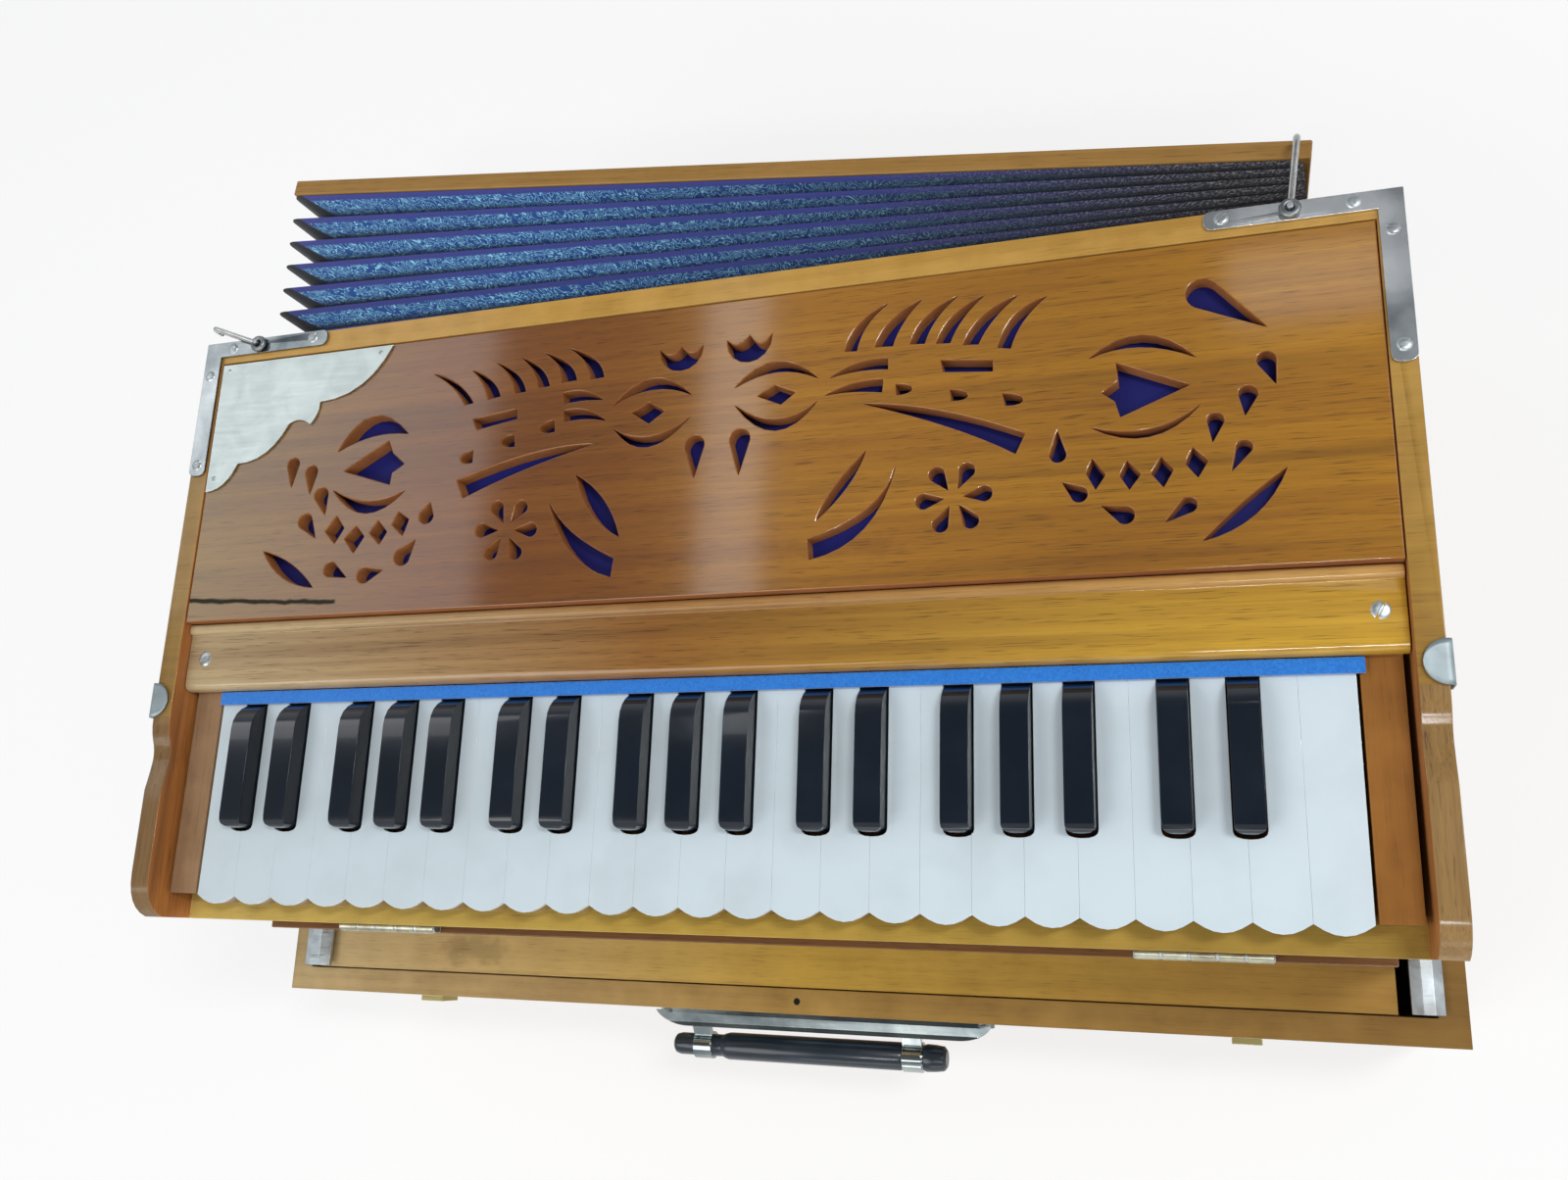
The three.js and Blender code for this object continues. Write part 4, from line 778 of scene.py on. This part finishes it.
# Corner plates: flat steel angles on the rim's two rear corners, each with four screws.
# They tie the joints and carry the pins of the hooks.
plate_metal = metal("corner plate metal", (0.86, 0.9, 0.93), (0.2, 0.24, 0.27), 0.22, 0.24, 24.0, bump=0.0)
# The left corner plate is painted darker than the right: painted shade, as it mirrors less light.
tinted_along_x(plate_metal, 0.29, [(0.0, (0.48, 0.5, 0.5)), (1.0, (1.0, 1.0, 1.0))])
plate_screws = {"right": [(217.9, 275.2), (267.2, 275.1), (280.4, 261.5), (280.6, 212.9)],
                "left": [(-219.7, 275.4), (-268.6, 274.9), (-281.0, 260.7), (-280.8, 211.8)]}
rim_top = body_high[2]
plate_thickness = 1.5 * MM
plate_top = rim_top + plate_thickness
for side, places in plate_screws.items():
    dressed("corner_plate_" + side, "frame", 0.3 * MM, plate_metal, slot="steel")
    for index, (x, y) in enumerate(places):
        place = (x * MM, y * MM + key_y, plate_top)
        screw_head(f"plate_screw_{side}_{index + 1}", place, 2.9 * MM, 0.7 * MM, steel, "frame", 0.7 + index)

# Wire hooks: bent from thick bright wire, each turning about its upright pin on a corner plate.
# The right one holds the bellows board, the left one hangs free. Their rings and pins are painted dark: painted
# shade, so that each pin reads as a dark hole that the wire goes down into.
wire_metal = metal("hook wire", (0.74, 0.75, 0.74), (0.5, 0.5, 0.48), 0.2, 0.26, 120.0, bump=0.0)
pin_hole_shade = metal("pin hole shade", (0.3, 0.32, 0.33), (0.16, 0.17, 0.18), 0.35, 0.45, 120.0)
hook_y, ring_radius = 0.1345, 4.2 * MM
for side, hook_x in (("left", -0.2515), ("right", 0.2438)):
    hook = dressed("hook_" + side, "hook_" + side, 0.0, wire_metal, pin_hole_shade, angle=80, slot="steel")
    paint_faces(hook, lambda c, n: np.hypot(c[:, 0] - hook_x, c[:, 1] - hook_y) < ring_radius, 1)

# Bellows board: the flat teak board that the player's left hand pumps, hinged on steel lugs at its right
# end. In the photograph it stands open by the angle named opening.
opening = math.radians(7.27)
board_wood = varnished("bellows board teak", (0.29, 0.155, 0.03), (0.18, 0.082, 0.015), teak_streak, 0.5,
                       turn=(0, 0, opening), shift=(0.4, 0.5, 0.2))
board = dressed("bellows_board", "bellows_board", 2.6 * MM, board_wood, steel, segments=3, slot="teak")
pivot_x, pivot_y, lug_radius = 0.262, 0.302 + key_y, 8.2 * MM
paint_faces(board, lambda c, n: np.hypot(c[:, 0] - pivot_x, c[:, 1] - pivot_y) < lug_radius, 1)

# Bellows folds: printed cloth over card, six pleats with violet binding along every outer edge.
# They open like a fan about the board's right end and are glued to the rear panel and the board.
cloth, tree, shader = start_material("bellows cloth", Roughness=0.75, Sheen_Weight=0.25)
uv = add_node(tree, "ShaderNodeUVMap", uv_map="UVMap").outputs[0]
rings = math_node(tree, "FRACT", math_node(tree, "MULTIPLY", noise(tree, uv, 190.0, 0.5, 1.6), 6.0))
squiggle = ramp(tree, rings, [(0.3, 0.0), (0.44, 1.0), (0.56, 1.0), (0.7, 0.0)])
tip = add_node(tree, "ShaderNodeAttribute", attribute_name="fold_share").outputs["Fac"]
printed = mix_colour(tree, squiggle, (0.008, 0.08, 0.32, 1), (0.36, 0.8, 0.97, 1))
# Towards the right the print is painted darker, where the pleats crowd together at the hinge: painted shade.
hinge_end_shade = over_axis(tree, "X", -0.1, 0.26, [(0.0, 0.0), (0.5, 0.55), (1.0, 1.0)])
printed = mix_colour(tree, hinge_end_shade, printed, (0.008, 0.008, 0.02, 1))
bound = mix_colour(tree, ramp(tree, tip, [(0.74, 0.0), (0.8, 1.0)]), printed, (0.04, 0.05, 0.28, 1))
# Grey flecks on the creased cloth at the far right are painted highlights: glints off its shiny creases.
crease_glints = math_node(tree, "MULTIPLY", ramp(tree, noise(tree, uv, 900.0, 3.0), [(0.5, 0.0), (0.6, 1.0)]),
                    ramp(tree, tip, [(0.6, 0.0), (0.9, 1.0)]))
# Further right still the cloth is painted nearly black: painted shade where the pleats close up.
far_right = over_axis(tree, "X", 0.06, 0.22, [(0.0, 0.0), (1.0, 1.0)])
bound = mix_colour(tree, math_node(tree, "MULTIPLY", far_right, 0.9), bound, (0.014, 0.014, 0.022, 1))
bound = mix_colour(tree, math_node(tree, "MULTIPLY", crease_glints, far_right), bound, (0.34, 0.33, 0.3, 1))
folds_left, gusset_reach = -0.2522, 0.022
from_left = over_axis(tree, "X", folds_left, folds_left + gusset_reach, [(0.0, 0.0), (1.0, 1.0)])
# The dark triangle at the pleats' left ends is painted shade inside the gussets.
gusset_shade = math_node(tree, "SUBTRACT", math_node(tree, "MULTIPLY", tip, -0.75), from_left)
gusset_shade = math_node(tree, "ADD", gusset_shade, 1.06)
bound = mix_colour(tree, ramp(tree, gusset_shade, [(0.0, 0.0), (0.06, 1.0)]), bound, (0.004, 0.005, 0.012, 1))
# The pleats' inner valleys are painted nearly black: painted shade.
valley_shade = mix_colour(tree, ramp(tree, tip, [(0.05, 0.0), (0.4, 1.0)]), (0.004, 0.006, 0.014, 1), bound)
tree.links.new(valley_shade, shader.inputs["Base Color"])
threads = add_node(tree, "ShaderNodeTexWave", [("Vector", uv), ("Scale", 700.0)]).outputs["Fac"]
set_bump(tree, shader, threads, 0.5, 0.1 * MM)

fold_count = 6
fold_depth = 12.6 * MM
fold_steps = 12
key_z = 0.246  # the white keys' tops, from which heights below are measured
ring_base = 0.279 + key_y + 0.35 * MM
root_share = 0.05
fold_ends = np.array([-10.3, -518.4]) * MM
fold_heights = np.array([key_z - 0.1219, key_z + 0.0071])


def bellows_surface():
    """Rounded rectangles stacked from the rear panel to the board: their inset is a rounded triangle wave of
    the share across, and their line turns from the panel's to the board's. Returns points, UVs, the share
    across at each point, and how near a fold's outer edge it lies."""
    pleat = np.linspace(0, fold_count, fold_count * fold_steps + 1)
    share = np.concatenate([[0], root_share + (1 - root_share) * pleat / fold_count])
    fold = np.abs(2 * (np.concatenate([[0], pleat]) % 1) - 1)
    bend = 0.94
    eased = bend + (1 - bend) * np.sin((fold - bend).clip(0) / (1 - bend) * np.pi / 2)
    inset = (1 - np.minimum(fold, eased)) * fold_depth
    corner, board_gap, cloth_width = 5 * MM, 1.9 * MM, 14 * MM
    turns = np.linspace(0, np.pi / 2, 5)
    width, height = abs(fold_ends[1] - fold_ends[0]), fold_heights[1] - fold_heights[0]
    outline = []
    for quarter, (cx, cz) in enumerate([(0, 1), (-1, 1), (-1, -1), (0, -1)]):
        angle = quarter * np.pi / 2 + turns
        centre_x = width - corner if cx == 0 else corner
        centre_z = height - corner if cz == 1 else corner
        arc = np.stack([np.cos(angle), np.sin(angle)], -1) * corner
        outline.append(arc + (centre_x, centre_z))
    loop = []
    for part, following in zip(outline, outline[1:] + outline[:1]):
        loop.append(part)
        gap = np.linspace(part[-1], following[0], 26)[1:-1]
        loop.append(gap)
    loop = np.concatenate(loop)
    middle = np.array([width, height]) / 2
    away = loop - middle
    x = middle[0] + away[:, 0][:, None] * (1 - inset[None] / middle[0])
    z = middle[1] + away[:, 1][:, None] * (1 - inset[None] / middle[1])
    distance = fold_ends[1] + x
    board_x = pivot_x + distance * math.cos(opening) - board_gap * math.sin(opening)
    board_y = pivot_y - distance * math.sin(opening) - board_gap * math.cos(opening)
    y = ring_base + (board_y - ring_base) * share[None]
    points = np.stack([board_x, y, fold_heights[0] + z], -1)
    around = np.concatenate([[0], np.cumsum(np.linalg.norm(np.diff(loop, axis=0), axis=1))])
    across = share * fold_count * 2 * cloth_width
    uv = np.stack(np.broadcast_arrays(around[:, None], across[None]), -1)
    shares = np.broadcast_to(share[None], y.shape)
    folds = np.broadcast_to(fold[None], y.shape)
    return points, uv, shares, folds


points, uv_places, blend_shares, fold_shares = bellows_surface()
folds = from_grid("bellows_cloth", points, cloth, None, wrap_u=True, uv=uv_places)
tips = folds.data.attributes.new("fold_share", "FLOAT", "POINT")
tips.data.foreach_set("value", np.ascontiguousarray(fold_shares, np.float32).ravel())
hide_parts("bellows_folds")
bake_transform(folds, "frame", "bellows_board", start=(0, float(ring_base), 0), end=(0, float(ring_base) + 0.07, 0))
across = folds.data.attributes["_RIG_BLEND"]
across.data.foreach_set("value", np.ascontiguousarray(blend_shares, np.float32).ravel())

# Front flap: a thin teak board between the body and the case.
# It hangs under the front rail from two steel butt hinges, whose knuckles show.
flap_wood = varnished("flap teak", (0.26, 0.115, 0.035), (0.17, 0.068, 0.02), teak_streak, 0.5,
                      shift=(0.8, 0.6, 0.4))
flap = dressed("front_flap", "front_flap", 0.8 * MM, flap_wood, steel, slot="teak")
hinge_y, hinge_z, pin_reach = -0.0119 + key_y, key_z - 0.0682, 2.9 * MM
paint_faces(flap, lambda c, n: np.hypot(c[:, 1] - hinge_y, c[:, 2] - hinge_z) < pin_reach, 1)
hinge_metal = metal("hinge metal", (0.52, 0.52, 0.41), (0.3, 0.28, 0.2), 0.3, 0.4, 160.0)


def knuckle(centre_x, length):
    """A rolled hinge knuckle along X: a circle carried along, drawn in at its two ends."""
    along = np.array([-0.5, -0.5, -0.47, 0.47, 0.5, 0.5])[:, None] * length
    radius = np.array([0.1, 2.5, 2.8, 2.8, 2.5, 0.1])[:, None] * MM
    angle = np.linspace(0, 2 * np.pi, 24, endpoint=False)[None, :]
    x, radius, angle = np.broadcast_arrays(centre_x + along, radius, angle)
    return np.stack([x, hinge_y + radius * np.cos(angle), hinge_z + radius * np.sin(angle)], -1)


hinge_middle, knuckle_pitch, knuckle_length = 0.196, 11.2 * MM, 10.2 * MM
for side, name in ((-1, "left"), (1, "right")):
    for index in range(5):
        rides_on = "frame" if index % 2 == 0 else "front_flap"
        roll = knuckle(side * hinge_middle + (index - 2) * knuckle_pitch, knuckle_length)
        label = f"hinge_knuckle_{name}_{index + 1}"
        from_grid(label, roll, hinge_metal, rides_on, wrap_v=True)

# Handle: a chrome plate with a rolled hood on the case's front, two chrome loops, and a black moulded grip.
# The grip turns in lugs under the hood.
dressed("handle_plate", "frame", 0.5 * MM, chrome, slot="chrome")
grip_black = plastic("grip black", (0.008, 0.016, 0.027), (0.02, 0.033, 0.05), 0.3, 0.2, 0.1 * MM)
grip = dressed("handle_grip", "handle_grip", 0.4 * MM, grip_black, chrome, slot="grip")
grip_middle, loop_distance, loop_half, grip_back = -3 * MM, 56 * MM, 5.2 * MM, wall_front - 8.5 * MM
paint_faces(grip, lambda c, n: (abs(abs(c[:, 0] - grip_middle) - loop_distance) < loop_half)
            | (c[:, 1] > grip_back), 1)

# Clips: small steel tabs bent over the cheeks' outer edges beside the name rail.
# Each is one piece of sheet, half round on the cheek's top and square down its outer face.


def cheek_clip(side):
    """A half ellipse on the cheek's top, bent down over its outer face: a strip swept along a bent line,
    whose half width is the root of 1 - (1 - share/round part)^2 until it is full."""
    bend = np.array([[-8.3, 0.9], [0.2, 0.9], [0.9, 0.6], [1.15, 0], [1.15, -9]]) * MM
    round_part, full_half, clip_y = 0.25, 8.4 * MM, 0.091 + key_y
    start = np.linspace(0, round_part, 16) ** 2 / round_part
    share = np.concatenate([start, np.linspace(round_part, 1, 13)[1:]])
    stops = np.linspace(0, 1, len(bend))
    line = np.stack([np.interp(share, stops, bend[:, 0]), np.interp(share, stops, bend[:, 1])], -1)
    half = full_half * np.sqrt(1 - (1 - (share / round_part).clip(0.01, 1)) ** 2)
    y = np.linspace(-1, 1, 9)[None, :] * half[:, None]
    x = np.broadcast_to((body_high[0] + line[:, 0])[:, None], y.shape) * side
    z = np.broadcast_to((rim_top + line[:, 1])[:, None], y.shape)
    return np.stack([x, clip_y + y, z], -1)


clip_steel = metal("clip steel", (0.38, 0.45, 0.47), (0.28, 0.33, 0.35), 0.5, 0.55, bump=0.0)
for side, name in ((-1, "left"), (1, "right")):
    strip = cheek_clip(side)
    strip = strip if side < 0 else strip[:, ::-1]
    clip = from_grid("cheek_clip_" + name, strip, clip_steel, "frame")
    wall = clip.modifiers.new("sheet", "SOLIDIFY")
    wall.thickness = 0.8 * MM
    wall.offset = -1

# Floor and light: a plain pale floor, a broad soft lamp overhead, windows that only the varnish shows,
# and a pale surround. The camera stands where the photograph was taken from.
floor_paint, tree, shader = start_material("pale floor", Base_Color=(0.93, 0.93, 0.93, 1), Roughness=0.8)
links = [("Color", (1, 1, 1, 1)), ("Strength", 1.0)]
white_surround = add_node(tree, "ShaderNodeEmission", links).outputs[0]
seen = math_node(tree, "MULTIPLY", add_node(tree, "ShaderNodeLightPath").outputs["Is Camera Ray"], 0.68)
links = [(0, seen), (1, shader.outputs[0]), (2, white_surround)]
lifted = add_node(tree, "ShaderNodeMixShader", links).outputs[0]
tree.links.new(lifted, tree.nodes["Material Output"].inputs["Surface"])
bpy.ops.mesh.primitive_plane_add(size=12, location=(0, 0, -0.5 * MM))
floor = bpy.context.object
floor.name = "floor"
floor.data.materials.append(floor_paint)


def lamp(name, place, target, size, power):
    """A rectangular lamp at a place, turned to a target."""
    data = bpy.data.lights.new(name, "AREA")
    data.shape = "RECTANGLE"
    data.size, data.size_y = size
    data.energy = power
    light = add_object(name, data)
    light.location = place
    light.rotation_euler = (Vector(target) - Vector(place)).to_track_quat("-Z", "Y").to_euler()


lamp("key lamp", (-1.3, -1.25, 2.2), (0, 0, 0.2), (1.5, 1.3), 21)
lamp("side window", (-1.87, 0.88, 2.0), (-1.87, 0.88, 0), (1.3, 0.95), 6.5)
lamp("window strip", (-0.675, 0.78, 2.0), (-0.675, 0.78, 0), (0.13, 0.8), 0.7)
lamp("fill lamp", (1.8, 0.2, 1.6), (0, 0, 0.2), (1.4, 1.4), 6)
lamp("glint lamp", (0.95, 0.2, 2.0), (0, 0, 0.25), (0.22, 0.5), 14)
lamp("rail glint lamp", (0.36, -1.15, 2.0), (0, 0, 0.25), (0.42, 0.045), 7)
lamp("corner window", (0.4, 0.98, 2.0), (0.4, 0.98, 0), (0.3, 0.14), 0.2)
lamp("front window", (0.2, -2.3, 0.7), (0, 0, 0.2), (1.6, 0.6), 5)
world = bpy.data.worlds.new("surround")
bpy.context.scene.world = world
world.use_nodes = True
sky = world.node_tree
direction = add_node(sky, "ShaderNodeTexCoord").outputs["Generated"]
height = add_node(sky, "ShaderNodeSeparateXYZ", [("Vector", direction)]).outputs["Z"]
level = ramp(sky, height, [(0.0, 0.7), (0.45, 0.62), (0.8, 0.16), (1.0, 0.12)])
sky.nodes["Background"].inputs["Color"].default_value = (0.95, 0.97, 1, 1)
sky.links.new(level, sky.nodes["Background"].inputs["Strength"])

camera_data = bpy.data.cameras.new("photo camera")
camera = add_object("photo camera", camera_data)
photo_width, photo_height = 1600, 1204
middle_across, middle_down, focal_pixels = 801.03, 603.75, 1348.6
camera_data.sensor_width = 36
camera_data.lens = focal_pixels / photo_width * camera_data.sensor_width
camera_data.shift_x = (photo_width / 2 - middle_across) / photo_width
camera_data.shift_y = (middle_down - photo_height / 2) / photo_width
camera_data.clip_start = 0.01
right = Vector((0.94876, 0.032454, -0.314327))
up = Vector((0.049753, 0.966963, 0.250014))
back = Vector((0.312056, -0.252842, 0.915801))
turn = Matrix((right, up, back)).transposed()
place = Vector((0.20987, -0.01068 + key_y, 0.52116 + key_z))
camera.matrix_world = Matrix.Translation(place) @ turn.to_4x4()
bpy.context.scene.camera = camera
bpy.context.scene.view_settings.view_transform = "Standard"
